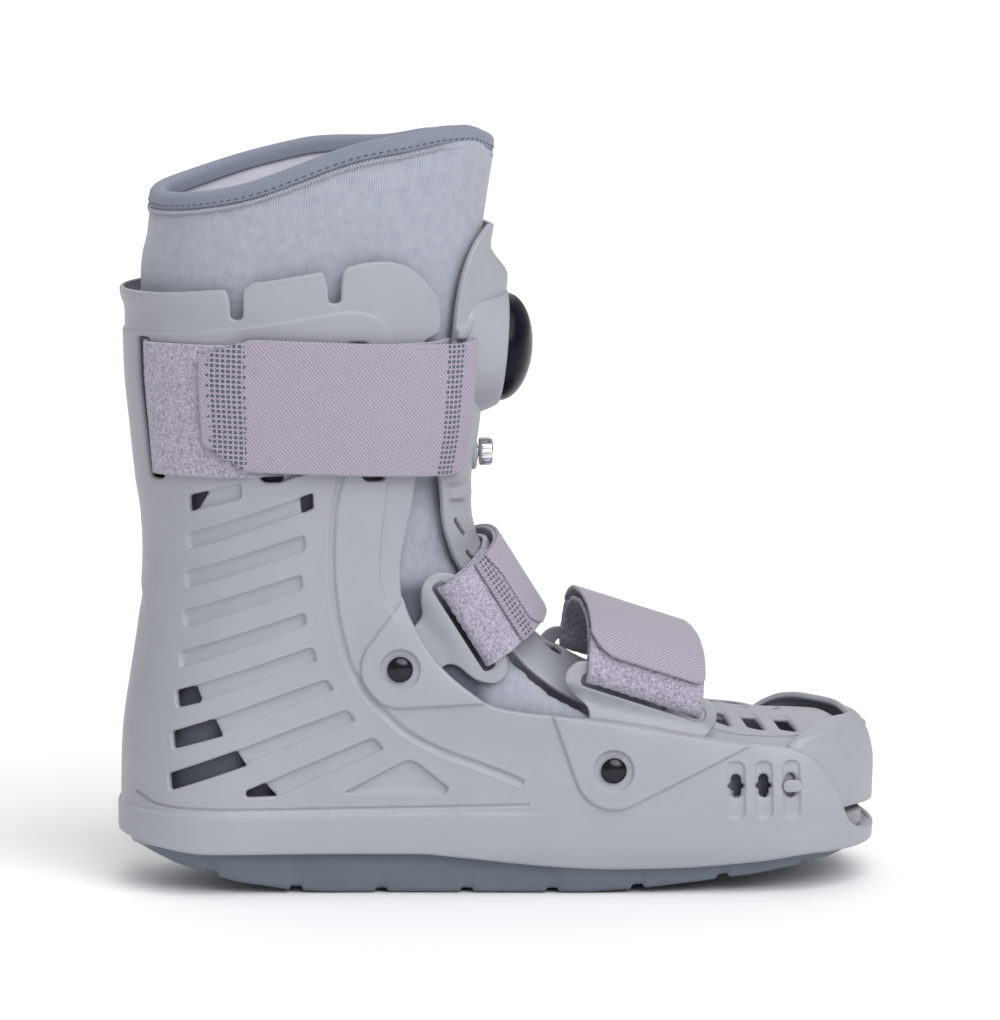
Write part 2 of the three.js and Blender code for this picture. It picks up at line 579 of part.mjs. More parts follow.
function makePlate() {
  const { x, z, tilt, radius, ring, root, height } = BULB;
  const housing = turned(lathe([[0, -6], [root, -6], [ring + 1.5, height - 2], [ring - 1.5, height], [0, height]], 24), x, z, tilt);
  const hood = solid(new THREE.SphereGeometry(1, 14, 8).scale(7.5, 15, 10.5).translate(-3.4, 0, 241));
  const bore = turned(lathe([[0, 0.4], [radius + GAP, 0.4], [radius + GAP, 30], [0, 30]], 24), x, z, tilt);
  const outside = plateSheet(40, -1, 0.3);
  const sheet = plateSheet(0, -WALL);
  const collar = turned(lathe([[0, -1], [7.5, -1], [6.8, VALVE.boss], [0, VALVE.boss]], 16), VALVE.base, VALVE.z, 0);
  const crown = solid(new THREE.BoxGeometry(80, 28, 80).translate(0, 0, 140));
  const vents = PLATE_VENTS.xs.flatMap((vx) => [-1, 1].map((side) => {
    const shape = roundedShape([[vx - PLATE_VENTS.width / 2, side * PLATE_VENTS.near], [vx + PLATE_VENTS.width / 2, side * PLATE_VENTS.near],
      [vx + PLATE_VENTS.width / 2, side * PLATE_VENTS.far], [vx - PLATE_VENTS.width / 2, side * PLATE_VENTS.far]], 2.6);
    const cut = new THREE.ExtrudeGeometry(shape, { depth: 60, bevelEnabled: false, curveSegments: 1 });
    return solid(cut.translate(0, 0, 40));
  }));
  // The window at the ankle's bend, cut square to the plate there
  const window = new THREE.ExtrudeGeometry(roundedShape([[-12, -15], [12, -18], [12, 18], [-12, 15]], 9),
    { depth: 60, bevelEnabled: false, curveSegments: 4 });
  window.translate(0, 0, -30).rotateY(THREE.MathUtils.degToRad(42)).translate(24, 0, 93);
  // Slots beside the bulb that the calf strap is threaded through
  const threads = [-1, 1].map((side) => {
    const box = new THREE.BoxGeometry(40, THREAD.width, CALF_STRAP.high - CALF_STRAP.low + 3);
    box.translate(-10, side * THREAD.y, (CALF_STRAP.high + CALF_STRAP.low) / 2);
    return solid(box).subtract(housing);
  });
  const slits = SLITS.map((line) => throughPrism(bandPoints(line, 1.8)).subtract(crown));
  return sheet
    .add(housing.add(hood).add(collar).intersect(outside))
    .subtract(bore)
    .subtract(union(vents))
    .subtract(solid(window))
    .subtract(union(threads))
    .subtract(union(slits));
}

function makeBulb() {
  const { x, z, tilt, radius, rise, height } = BULB;
  const base = 0.4 + GAP;
  const crown = height + rise;
  const profile = [[0, base], [radius, base], [radius, height]];
  const steps = 5;
  for (let i = 1; i < steps; i += 1) {
    const a = (i / steps) * (Math.PI / 2);
    profile.push([radius * Math.cos(a), height + rise * Math.sin(a)]);
  }
  profile.push([0, crown]);
  return turned(lathe(profile, 24), x, z, tilt);
}

function makeValve() {
  const { z, base, boss, face, radius, stem, collar } = VALVE;
  const seat = base + boss;
  const low = seat + 1.1;
  const bevel = 0.6;
  const teeth = 18;
  const body = new THREE.Shape();
  for (let i = 0; i < teeth * 2; i += 1) {
    const a = (i / (teeth * 2)) * 2 * Math.PI;
    const r = i % 2 ? radius : radius - 0.35;
    if (i === 0) body.moveTo(r, 0);
    else body.lineTo(r * Math.cos(a), r * Math.sin(a));
  }
  body.closePath();
  const knob = new THREE.ExtrudeGeometry(body, { depth: face - low - 2 * bevel, bevelEnabled: true, bevelThickness: bevel,
    bevelSize: bevel, bevelOffset: -bevel, bevelSegments: 1 });
  knob.rotateY(Math.PI / 2).translate(low + bevel, 0, z);
  const cavity = turned(lathe([[0, -3], [stem + GAP, -3], [stem + GAP, 3.2], [0, 3.2]], 14), low, z, 0);
  const post = lathe([[0, 0.1], [collar, 0.1], [collar, 0.7], [stem, 0.7], [stem, 3.8], [0, 3.8]], 14);
  return { knob: solid(knob).subtract(cavity), post: turned(post, seat, z, 0) };
}

// Toe guard

function guardPath(share, inset, z) {
  const offset = lerp(-WALL - GUARD.room, -0.2, smooth(0.55, 0.85, share)) - inset;
  return sectionPoint(section(Math.min(z, GUARD.level), offset), lerp(GUARD.start, 3, share));
}

function guardRow(share) {
  const rows = GUARD_ROWS.map((row) => [row.at, row.low, row.crease, row.top, row.lean]);
  return interpolate(rows, ["at", "low", "crease", "top", "lean"], share);
}

function makeGuard() {
  const shares = [0, 0.06, 0.12, 0.18, 0.26, 0.36, 0.46, 0.56, 0.66, 0.76, 0.86, 0.94, 1];
  const half = shares.map((share) => {
    const row = guardRow(share);
    const at = (inset, z) => {
      const [x, y] = guardPath(share, inset, z);
      return new THREE.Vector3(x, -y, z);
    };
    const taper = 1.6 * smooth(0.5, 1, share);
    return [at(0.8 * smooth(0.3, 1, share), row.low), at(0, 46), at(0.3 * taper, lerp(46, row.crease, 0.7)), at(taper, row.crease), at(row.lean, row.top),
      at(row.lean + WALL, row.top - 1.6), at(WALL + taper, row.crease - 2), at(WALL, row.low)];
  });
  const mirror = half.slice(0, -1).reverse().map((ring) => ring.map((p) => new THREE.Vector3(p.x, -p.y, p.z)));
  let guard = solid(loftGeometry([...half, ...mirror]));
  const x = KEYHOLES.xs[2];
  const face = halfWidth(x, KEYHOLES.z);
  for (const side of [-1, 1]) {
    const lens = roundedShape([[x - 3.8, KEYHOLES.z - 1.4], [x - 3.8, KEYHOLES.z + 1.4], [x - 1.6, KEYHOLES.z + 2.4], [x + 1.6, KEYHOLES.z + 2.4],
      [x + 3.8, KEYHOLES.z + 1.4], [x + 3.8, KEYHOLES.z - 1.4], [x + 1.6, KEYHOLES.z - 2.4], [x - 1.6, KEYHOLES.z - 2.4]], 1.2);
    const stem = roundedShape([[x - 1.4, KEYHOLES.z - 2], [x - 1.4, KEYHOLES.z + 2], [x + 1.4, KEYHOLES.z + 2], [x + 1.4, KEYHOLES.z - 2]], 0.8);
    const span = (a, b) => [Math.min(side * a, side * b), Math.max(side * a, side * b)];
    guard = guard.add(sidePrism(lens, ...span(face + 0.5, face + 2.1))).add(sidePrism(stem, ...span(face - WALL - GAP - 1.5, face + 1.2)));
  }
  return guard;
}

// Strap arms: flat moulded loops that a rivet holds inside the shell's wall

const ARMS = {
  ankle: {
    rivet: RIVETS[0],
    outline: [[-53, 86], [-48, 80], [-38, 80], [-24, 91.5], [-20, 91], [-12, 84.4], [-4, 83.4], [0.4, 88], [-0.4, 94.5],
      [-17.6, 124.5], [-22, 128], [-29.5, 128.4], [-34, 124], [-34.4, 117], [-33.4, 110.5], [-36, 106.8], [-45, 101], [-52, 95]],
    slot: { low: -2.6, high: 2.9 },
    strap: { x: -17.6, z: 106.6, out: 33, along: -58, width: 37 },
    bend: [-14, -4],
    plane: 43.5,
  },
  forefoot: {
    rivet: RIVETS[1],
    outline: [[30, 50], [36, 41], [46, 41], [54, 50], [62, 60.4], [76, 60.8], [82, 65], [83, 72], [79.6, 76.4], [34, 92.8],
      [26.6, 92.6], [22, 88], [22.6, 82.4], [26.6, 78.2], [32, 74]],
    slot: { low: -2.7, high: 2.5 },
    strap: { x: 53.4, z: 77.6, out: 84, along: -18.5, width: 48 },
    bend: [-9, -3],
    plane: 47,
  },
};
const ARM = 1.8; // thickness of a strap arm

// Unit vectors, in side view, across a strap's slot and along it
function slotAxes({ strap }) {
  const along = THREE.MathUtils.degToRad(strap.along);
  return { out: [-Math.sin(along), Math.cos(along)], along: [Math.cos(along), Math.sin(along)] };
}

function armFace(arm, x, z) {
  const { out } = slotAxes(arm);
  const reach = (x - arm.strap.x) * out[0] + (z - arm.strap.z) * out[1];
  return lerp(halfWidth(x, z, -WALL - GAP - 0.1), arm.plane, smooth(arm.bend[0], arm.bend[1], reach));
}

function slotPoints(arm) {
  const { out, along } = slotAxes(arm);
  const end = arm.strap.width / 2 + 1.8;
  const corner = (o, t) => [arm.strap.x + o * out[0] + t * along[0], arm.strap.z + o * out[1] + t * along[1]];
  const { low, high } = arm.slot;
  return [corner(low, -end), corner(high, -end), corner(high, end), corner(low, end)];
}

function makeArm(arm, side) {
  const xs = arm.outline.map((p) => p[0]);
  const zs = arm.outline.map((p) => p[1]);
  const [x0, x1, z0, z1] = [Math.min(...xs) - 1, Math.max(...xs) + 1, Math.min(...zs) - 1, Math.max(...zs) + 1];
  const steps = 6;
  const rings = Array.from({ length: steps + 1 }, (_, i) => {
    const x = lerp(x0, x1, i / steps);
    const column = Array.from({ length: steps + 1 }, (_, j) => lerp(z0, z1, j / steps));
    const outer = column.map((z) => new THREE.Vector3(x, side * armFace(arm, x, z), z));
    const inner = column.map((z) => new THREE.Vector3(x, side * (armFace(arm, x, z) - ARM), z)).reverse();
    return [...outer, ...inner];
  });
  const { x, z } = arm.rivet;
  const depth = tailPlane(arm) + 0.4;
  const seat = sidePrism(circleShape(x, z, RIVET.tail + 0.6), side < 0 ? -depth : 0, side < 0 ? 0 : depth, 6);
  return solid(loftGeometry(rings))
    .intersect(throughPrism(arm.outline, 4, 2))
    .subtract(throughPrism(slotPoints(arm), 2, 2))
    .subtract(sidePrism(circleShape(x, z, RIVET.hole), -80, 80, 8))
    .subtract(seat);
}

// Where the rivet's tail bears on the arm's inner side
function tailPlane(arm) {
  return armFace(arm, arm.rivet.x, arm.rivet.z) - ARM + 0.2;
}

function makeRivet(arm, side) {
  const { x, z } = arm.rivet;
  const seat = halfWidth(x, z) + BOSS - COUNTERBORE.depth + 0.3;
  const tail = tailPlane(arm);
  const profile = [[0, tail - 0.5], [RIVET.tail, tail - 0.5], [RIVET.tail, tail], [RIVET.shank, tail], [RIVET.shank, seat], [RIVET.head, seat]];
  const steps = 3;
  for (let i = 1; i < steps; i += 1) {
    const a = (i / steps) * (Math.PI / 2);
    profile.push([RIVET.head * Math.cos(a), seat + RIVET.dome * Math.sin(a)]);
  }
  profile.push([0, seat + RIVET.dome]);
  const geometry = lathe(profile, 14);
  if (side < 0) geometry.rotateX(Math.PI);
  return solid(geometry.translate(x, 0, z));
}

// Straps

// A flat strap along a path in its own plane: points are across, out; the path is rounded by a spline
function ribbonShape(path, thickness, steps) {
  const curve = new THREE.SplineCurve(path.map(([a, b]) => new THREE.Vector2(a, b)));
  const points = curve.getSpacedPoints(steps);
  const sides = [[], []];
  points.forEach((p, i) => {
    const before = points[Math.max(0, i - 1)];
    const after = points[Math.min(points.length - 1, i + 1)];
    const along = after.clone().sub(before).normalize();
    sides[0].push(new THREE.Vector2(p.x - (along.y * thickness) / 2, p.y + (along.x * thickness) / 2));
    sides[1].push(new THREE.Vector2(p.x + (along.y * thickness) / 2, p.y - (along.x * thickness) / 2));
  });
  return new THREE.Shape([...sides[0], ...sides[1].reverse()]);
}

// Places a strap drawn across (y) and out from the foot, with its width running down the foot
function strapSolid(half, { x, z, out, along, width }, steps) {
  const path = [...half, ...half.slice(0, -1).reverse().map(([a, b]) => [-a, b])];
  const geometry = new THREE.ExtrudeGeometry(ribbonShape(path, WEB, steps), { depth: width, bevelEnabled: false });
  geometry.translate(0, 0, -width / 2);
  const axis = (degrees) => {
    const angle = THREE.MathUtils.degToRad(degrees);
    return new THREE.Vector3(Math.cos(angle), 0, Math.sin(angle));
  };
  geometry.applyMatrix4(new THREE.Matrix4().makeBasis(new THREE.Vector3(0, 1, 0), axis(out), axis(along)));
  return solid(geometry.translate(x, 0, z));
}

// Half paths (y, out) from the right end to the middle: the looped strap, and the woven cover that lies on it
const STRAP_PATHS = {
  ankle: {
    strap: [[-27, 24.4], [-34.5, 20.2], [-41.5, 14.8], [-45.4, 9], [-45.5, 3.6], [-42.6, 0], [-39.9, 3.2], [-39.4, 8.5],
      [-35.6, 14], [-28, 19.4], [-16, 24], [0, 26.4]],
    cover: [[-35.5, 23], [-27, 26.9], [-14, 29.7], [0, 30.6]],
  },
  forefoot: {
    strap: [[-42.8, 18.8], [-47, 13.8], [-48.9, 8], [-49, 3], [-46.1, -0.3], [-43.2, 2.6], [-43, 7.5], [-41, 13],
      [-35.5, 18], [-23, 22.6], [0, 24.8]],
    cover: [[-51.2, 9.5], [-49.6, 14.5], [-45.8, 19.6], [-37.5, 24], [-21, 27.4], [0, 28.4]],
  },
};

// Calf strap: drawn as distance round the leg from the heel's middle, and distance out from the shell

const LONGEST = 7; // longest straight step of the calf strap
const THREAD = { y: 28.2, width: 8.8 };
const CALF_MIDDLE = (CALF_STRAP.low + CALF_STRAP.high) / 2;

function arcTable() {
  const table = [[0, 0]];
  const steps = 120;
  let previous = sectionPoint(section(CALF_MIDDLE, 0), 0);
  for (let i = 1; i <= steps; i += 1) {
    const share = (3 * i) / steps;
    const next = sectionPoint(section(CALF_MIDDLE, 0), share);
    table.push([table[i - 1][0] + Math.hypot(next[0] - previous[0], next[1] - previous[1]), share]);
    previous = next;
  }
  return table;
}
const ARC = arcTable();

function shareAt(distance) {
  const i = Math.max(1, ARC.findIndex(([d]) => d >= distance));
  const [d0, s0] = ARC[i - 1];
  const [d1, s1] = ARC[i];
  return lerp(s0, s1, (distance - d0) / (d1 - d0));
}

function distanceAt(x) {
  const i = ARC.findIndex(([, share]) => sectionPoint(section(CALF_MIDDLE, 0), share)[0] >= x);
  return ARC[Math.max(0, i)][0];
}

function legPoint(distance, z, out) {
  const share = shareAt(Math.abs(distance));
  const [x, w] = sectionPoint(section(z, out), share);
  return new THREE.Vector3(x, -Math.sign(distance) * w, z);
}

function calfRibbon(path, low, high, thickness = WEB) {
  const sides = path.map(([s, d], i) => {
    const [s0, d0] = path[Math.max(0, i - 1)];
    const [s1, d1] = path[Math.min(path.length - 1, i + 1)];
    const length = Math.hypot(s1 - s0, d1 - d0);
    return { s, d, ns: -(d1 - d0) / length, nd: (s1 - s0) / length };
  });
  const rows = 3;
  const heights = (i) => Array.from({ length: rows + 1 }, (_, j) => lerp(low(i), high(i), j / rows));
  const rings = sides.map(({ s, d, ns, nd }, i) => {
    const half = thickness / 2;
    const a = heights(i).map((z) => legPoint(s + ns * half, z, d + nd * half));
    const b = heights(i).map((z) => legPoint(s - ns * half, z, d - nd * half)).reverse();
    return [...a, ...b];
  });
  return solid(loftGeometry(rings));
}

function makeCalfStrap() {
  const [rear, middle, front] = STRAP_SLOTS.map(({ x }) => distanceAt(x));
  const slot = ARC.find(([, share]) => share > 2 && sectionPoint(section(CALF_MIDDLE, 0), share)[1] < THREAD.y)[0];
  const inside = -4.3;
  const outside = 1.7;
  const top = 4;
  const half = [
    [0, inside], [rear - 5, inside], [rear - 3, -3.7], [rear + 3.4, 1.2], [rear + 6, outside], [rear + 20, outside],
    [middle - 6, outside], [middle - 3, 0.9], [middle + 3, -3.6], [middle + 6, inside], [front - 6, inside],
    [front - 3, -3.6], [front + 3, 0.9], [front + 6, outside], [distanceAt(-38), outside], [distanceAt(-31), 1],
    [slot - 11.5, -3.9], [slot - 8, inside - 0.3], [slot - 2.6, inside - 0.3], [slot - 0.4, -3.2], [slot + 0.5, -0.4],
    [slot - 0.8, 3], [slot - 4, 4.2], [slot - 12, top + 0.4], [distanceAt(-33), top + 0.2], [distanceAt(-48), top],
    [front - 6, top], [middle + 14, top], [middle, top], [distanceAt(-108), top], [distanceAt(-114), top],
    [distanceAt(-118.5), top],
  ];
  const fine = half.flatMap(([s, d], i) => {
    const [s1, d1] = half[Math.min(half.length - 1, i + 1)];
    const pieces = Math.max(1, Math.round(Math.abs(s1 - s) / LONGEST));
    return Array.from({ length: pieces }, (_, k) => [lerp(s, s1, k / pieces), lerp(d, d1, k / pieces)]);
  });
  const path = [...fine.slice(1).reverse().map(([s, d]) => [-s, d]), ...fine];
  const last = path.length - 1;
  const chamfer = (i) => (i === 0 || i === last ? 9 : 0);
  const narrow = (i) => (i === 1 || i === last - 1 ? 1.5 : 0);
  return calfRibbon(path, (i) => CALF_STRAP.low + chamfer(i) + narrow(i), (i) => CALF_STRAP.high - chamfer(i) - narrow(i));
}

const shell = makeShell();
const plateRoom = plateSheet(60, -WALL - GAP, 0.12);
const plate = makePlate();
const liner = makeLiner(plateRoom);
const valve = makeValve();

const COLOURS = {
  shell: { color: 0xb4b9bd, roughness: 0.45, metalness: 0 },
  liner: { color: 0xa3a8ae, roughness: 0.95, metalness: 0 },
  binding: { color: 0x8a9199, roughness: 0.9, metalness: 0 },
  strap: { color: 0xaca6b0, roughness: 0.95, metalness: 0 },
  sole: { color: 0x6d747b, roughness: 0.8, metalness: 0 },
  insole: { color: 0x8f9197, roughness: 0.9, metalness: 0 },
  rubber: { color: 0x20232c, roughness: 0.3, metalness: 0 },
  metal: { color: 0xd0d0d2, roughness: 0.2, metalness: 1 },
};

const boot = new THREE.Group();

function addPiece(name, manifold, finish) {
  const mesh = new THREE.Mesh(geometryOf(manifold), new THREE.MeshStandardMaterial(COLOURS[finish]));
  mesh.name = name;
  boot.add(mesh);
}

addPiece("shell", shell, "shell");
addPiece("sole", makeSole(), "sole");
addPiece("insole", makeInsole(), "insole");
addPiece("liner", liner, "liner");
addPiece("liner_binding", makeBinding(), "binding");
addPiece("front_plate", plate, "shell");
addPiece("air_bulb", makeBulb(), "rubber");
addPiece("valve_stem", valve.post, "metal");
addPiece("valve_knob", valve.knob, "metal");
addPiece("toe_guard", makeGuard(), "shell");
addPiece("calf_strap", makeCalfStrap(), "strap");
for (const [place, arm] of Object.entries(ARMS)) {
  addPiece(`${place}_strap`, strapSolid(STRAP_PATHS[place].strap, arm.strap, 44), "strap");
  addPiece(`${place}_cover`, strapSolid(STRAP_PATHS[place].cover, arm.strap, 16), "strap");
  for (const [hand, side] of [["right", -1], ["left", 1]]) {
    addPiece(`${place}_arm_${hand}`, makeArm(arm, side), "shell");
    addPiece(`${place}_rivet_${hand}`, makeRivet(arm, side), "metal");
  }
}

export default boot;
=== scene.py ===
"""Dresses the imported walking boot.

Its pieces are the moulded shell, padded liner, straps, front plate, air bulb, toe guard and sole.
Sizes are in millimetres until a mesh is written, and +X runs from heel to toe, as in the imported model.
"""

import logging
import math
from dataclasses import dataclass, field
from enum import Enum
from functools import partial
from typing import Callable, ClassVar, Iterable, Optional, Sequence

import bmesh
import bpy
import numpy as np
from bpy.types import Material, Mesh, Node, NodeSocket, Object
from mathutils import Matrix, Vector, kdtree, noise
from mathutils.geometry import delaunay_2d_cdt


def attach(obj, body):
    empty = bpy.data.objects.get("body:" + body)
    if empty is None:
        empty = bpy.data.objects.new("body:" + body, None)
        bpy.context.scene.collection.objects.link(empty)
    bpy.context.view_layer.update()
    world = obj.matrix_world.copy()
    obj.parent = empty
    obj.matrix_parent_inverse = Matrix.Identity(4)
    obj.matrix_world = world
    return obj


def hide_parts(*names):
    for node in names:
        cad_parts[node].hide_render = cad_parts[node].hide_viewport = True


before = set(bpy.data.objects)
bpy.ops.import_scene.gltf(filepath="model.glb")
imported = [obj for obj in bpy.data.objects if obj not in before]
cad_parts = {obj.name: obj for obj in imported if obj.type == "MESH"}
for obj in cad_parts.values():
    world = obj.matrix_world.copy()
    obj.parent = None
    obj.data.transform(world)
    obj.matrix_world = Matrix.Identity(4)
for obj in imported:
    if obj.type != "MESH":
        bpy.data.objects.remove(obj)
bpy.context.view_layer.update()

MM = 0.001  # metres in a millimetre
Points = np.ndarray
Line = Sequence[Sequence[float]]
Place = Callable[[Points, Points], Points]
AddNode = Callable[..., Node]
log = logging.getLogger("walking_boot")

WALL = 2.5  # thickness of the shell's wall
GAP = 0.4  # clearance of the strap arms inside the wall
BOSS = 1.4  # height of the boss round a rivet
LINER_OUT = -6.2  # the liner's outer side, out from the shell's form
LINER = 5.0  # thickness of the liner
WEB = 1.8  # thickness of the strap webbing
ARM = 1.8  # thickness of a strap arm
FAR = 6.0  # farther than this from an outline, all points count alike
MERGE = 1e-6  # points closer than this, in metres, become one
ON_MIDDLE = 1e-4  # a flat point this near to the middle plane lies in it

# Horizontal sections of the shell: z, back x, front x, half widths at heel and ball, lengths of the end caps
FORM_ROWS = (
    (8, -149, 150, 42.5, 57, 46, 52), (20, -150.7, 151.6, 44, 60.5, 46, 52),
    (33, -150.7, 152, 43.5, 60, 46, 52), (45, -150.6, 152, 42.8, 58, 46, 52),
    (57, -150.2, 150.6, 42.2, 55.5, 47, 53), (64, -149.6, 128, 41.8, 53, 48, 58),
    (72, -148.6, 92, 41.6, 50, 50, 62), (82, -147, 60, 41.4, 47, 53, 64),
    (92, -145.4, 38, 41.4, 44.5, 57, 66), (104, -143.6, 20, 41.6, 43, 61, 66),
    (118, -142.3, 6, 42.2, 42.6, 64, 66), (134, -141.6, -5, 43.2, 43.2, 66, 66),
    (148, -142.2, -10, 44.4, 44.4, 66, 65), (162, -144.2, -10.5, 46, 46, 67, 65),
    (184, -146.4, -7, 48.6, 48.6, 70, 68), (207, -148.4, -5, 50.6, 50.6, 72, 70),
    (228, -148.8, -3.8, 52.2, 52.2, 73, 71), (240, -148, -2.8, 53, 53, 73, 72),
    (256, -145.4, -1, 53.2, 53.2, 72, 72), (272, -143.2, 1.4, 52.6, 52.6, 72, 72),
    (306, -140.8, 5, 52, 52, 72, 72),
)
ROUND = 2.3  # power of the curve that rounds the ends of a section, 2 being an ellipse

# Side view of the shell's top and front edges, in x and z, from the heel's lip over the wing to the toe
EDGE_BACK = ((-160, 238.2), (-134, 239.1), (-114.5, 240.8))
# Notches in the top edge: x of the middle, z of the bottom, x of the mouth's two sides, z of the edge
NOTCHES = ((-107.2, 229.2, -112, -104.8, 241.4), (-68.4, 235.6, -73.6, -65.2, 248.4))
EDGE_MIDDLE = ((-103, 243.4), (-94, 244.6), (-76, 247.6))
EDGE_TOP = (
    (-63, 249.8), (-56, 251.3), (-48.6, 251.7), (-40.8, 250.2), (-35, 246.8), (-29.7, 241.3),
    (-25.6, 234.6), (-25, 227.6), (-25.6, 222),
)
EDGE_FRONT = (
    (-31.5, 219.6), (-33.6, 190), (-34.8, 166.3), (-36.4, 154.7), (-39.1, 142.1), (-41.2, 131.5),
    (-41.4, 120.9), (-39.7, 113.4), (-37, 107), (-32.3, 98.4), (-24.9, 89.2), (-15.4, 81.1), (-6.9, 75.6),
    (4.8, 72.9), (17, 71.6), (32, 70.2), (54.2, 67), (69.4, 64), (82.3, 61.9), (94.2, 60.2), (104, 59.2),
    (112.6, 57.2), (118.6, 54.6), (123.7, 50), (127.9, 44.4), (132.2, 36.8), (137, 26.4), (147, 21.8),
    (160, 21.6),
)
# Lower edge of the shell, from the toe back to the heel
SKIRT = (
    (160, 14.5), (140, 15.5), (122, 15.6), (96.5, 13), (66, 10.8), (40.5, 10.4), (16, 11.6), (3, 13),
    (-20, 15.6), (-36, 17), (-120, 17.3), (-136, 19), (-146, 21), (-160, 22),
)
# Underside of the sole, from heel to toe
ROCKER = (
    (-160, 24), (-147, 19), (-131, 12), (-107, 4.8), (-86, 1.2), (-70, 0), (32, 0), (53, 1.6), (96, 6.8),
    (127, 12.2), (142, 16.4), (160, 22),
)
# Louvre pockets in the side of the shell, by the x and z of their corners
LOUVRES = (
    ((-125.1, 159.2), (-104.8, 165.3), (-104.5, 158.5), (-124.9, 152.5)),
    ((-91, 171.5), (-67, 181), (-67, 174), (-90.7, 164.5)),
    ((-125.8, 143.7), (-76.9, 160.7), (-76.6, 154.4), (-125, 137.1)),
    ((-126.4, 128.6), (-79.9, 144.2), (-79.5, 137.7), (-126, 121.6)),
    ((-127.6, 113), (-81.2, 128.4), (-80.5, 122.3), (-126.8, 106)),
    ((-128.8, 96.9), (-79.8, 113.1), (-79.2, 107.8), (-128.9, 90.2)),
    ((-130.6, 81.4), (-76.8, 99.4), (-74.9, 93.5), (-130.1, 74.7)),
    ((-132.4, 65.3), (-71.3, 86.6), (-68.3, 82), (-131.9, 58.5)),
    ((-133.8, 48.8), (-63.4, 74.5), (-59.8, 69.8), (-133.3, 42.1)),
    ((-103.6, 42.4), (-53.2, 63.4), (-48.9, 58.6), (-90.6, 40.2), (-103.4, 39.9)),
    ((-66, 41.1), (-40, 54.6), (-36, 53.2), (-23.4, 43), (-25.6, 40.5)),
)
# The parts of the louvres that are cut through
VENTS = (
    ((-125.1, 159.2), (-117.9, 161.3), (-122.4, 153.3), (-124.9, 152.5)),
    ((-83, 174.9), (-67, 181), (-67, 174), (-82.7, 167.7)),
    ((-82, 158.9), (-76.9, 160.7), (-76.6, 154.4), (-81.3, 152.5)),
    ((-130.6, 81.4), (-123.3, 83.8), (-120.9, 77.3), (-130.1, 74.7)),
    ((-132.4, 65.3), (-116, 71), (-112.4, 64.2), (-131.9, 58.5)),
    ((-133.8, 48.8), (-107.1, 58.5), (-103, 52.4), (-133.3, 42.1)),
    ((-103.6, 42.4), (-95.9, 45.6), (-91.2, 40.2), (-103.4, 39.9)),
)
# Slots for the calf strap: x of the middle, and width
STRAP_SLOTS = ((-140.5, 10.0), (-97.4, 9.5), (-56.8, 9.5))
CALF_LOW = 167.0  # z of the calf strap's lower edge
CALF_HIGH = 219.5  # z of its upper edge
# Outline of the stiff panel; the margin above and ahead of it is moulded thinner
PANEL = (
    (-136, 222.2), (-103.5, 225.5), (-63.4, 231.8), (-54.3, 230.6), (-48.5, 226.6), (-45.7, 220.9),
    (-47.5, 166), (-49.9, 144.3), (-51.1, 128.5), (-49.2, 117), (-39, 100), (-140, 100), (-152, 222),
)
# Front side of the curved groove, from the strap down to the instep
RIB = (
    (-64.6, 176), (-67.1, 168.8), (-70.7, 150), (-71.2, 130.9), (-70.2, 118.2), (-68.1, 105.5),
    (-64.4, 91.8), (-59, 82), (-50.2, 71.7), (-40.8, 63.3), (-27.1, 55.9), (-14.5, 51.2), (-2.4, 46.6),
    (5, 43.4),
)
# Rivets of the two pairs of strap arms: x, z, and the tips that the boss is drawn out to
RIVETS = {
    "ankle": (-42.8, 90.2, ((-38, 123), (-2, 76.4))),
    "forefoot": (40.7, 50.1, ((15.8, 73), (96.5, 59.4))),
}
KEYHOLES = (89.0, 100.0, 111.2)  # x of the keyholes for the toe guard's pegs
KEYHOLE_Z = 43.4
# Crease over the heel's base band
BASE_CREASE = (
    (-146.6, 39.6), (-143.5, 37.8), (-139, 35.6), (-126, 34.4), (-98, 34), (-60, 34.4), (-24, 35),
    (8, 35.8),
)
# The front plate, row by row down its crown: x, z, radius across, radius of its fall, half angle in degrees
PLATE_ROWS = (
    (-1.2, 262, 49, 49, 19), (-2.4, 255, 49, 49, 33), (-3.2, 245, 49, 49, 41), (-4, 232, 49, 49, 45),
    (-4.8, 217.5, 49, 49, 46.5), (-5.2, 207, 48, 48, 50), (-6.9, 184, 47, 47, 50), (-9.6, 168, 46, 46, 50),
    (-10.4, 160.5, 45, 45, 47), (-10.4, 150, 44, 44, 46), (-8.4, 139, 43, 42, 45),
    (-2.8, 128.6, 42, 40, 46), (6, 114, 41, 36, 50), (15.5, 101, 42, 32, 54), (29, 89.5, 44, 27, 58),
    (46, 81.4, 47, 23, 62), (64, 74.6, 49, 19, 65), (82, 68.8, 50, 16, 67), (97, 65, 50, 13.5, 68),
    (116, 63.2, 48, 11, 67), (132, 62.6, 40, 9, 66), (139.5, 59.6, 28, 7, 60),
)
# The toe guard, from its arm's end to the toe: share, z of the low edge, of the crease and of the top, lean
GUARD_ROWS = (
    (0, 33, 50, 51.5, 0.6), (0.12, 31, 56.4, 57.8, 1), (0.2, 31, 60, 61.5, 3), (0.32, 31, 62.2, 64.8, 6),
    (0.5, 31, 63.2, 66.2, 8), (0.75, 30.4, 62.4, 65.8, 8), (1, 30, 61, 64.4, 7.5),
)
# Top edge of the liner in the side view, in x and z
RIM = (
    (-146, 272), (-140, 275), (-132, 278.6), (-118, 282.6), (-97, 288.6), (-78, 293), (-60, 296.6),
    (-44, 299.4), (-24, 302.6), (-17, 302.6), (-10.7, 300.4), (-4, 297), (3, 294.6), (12, 293),
)


def smoothstep(low: float, high: float, value: Points) -> Points:
    """Eases from 0 at low to 1 at high."""
    t = np.clip((np.asarray(value, float) - low) / (high - low), 0, 1)
    return t * t * (3 - 2 * t)


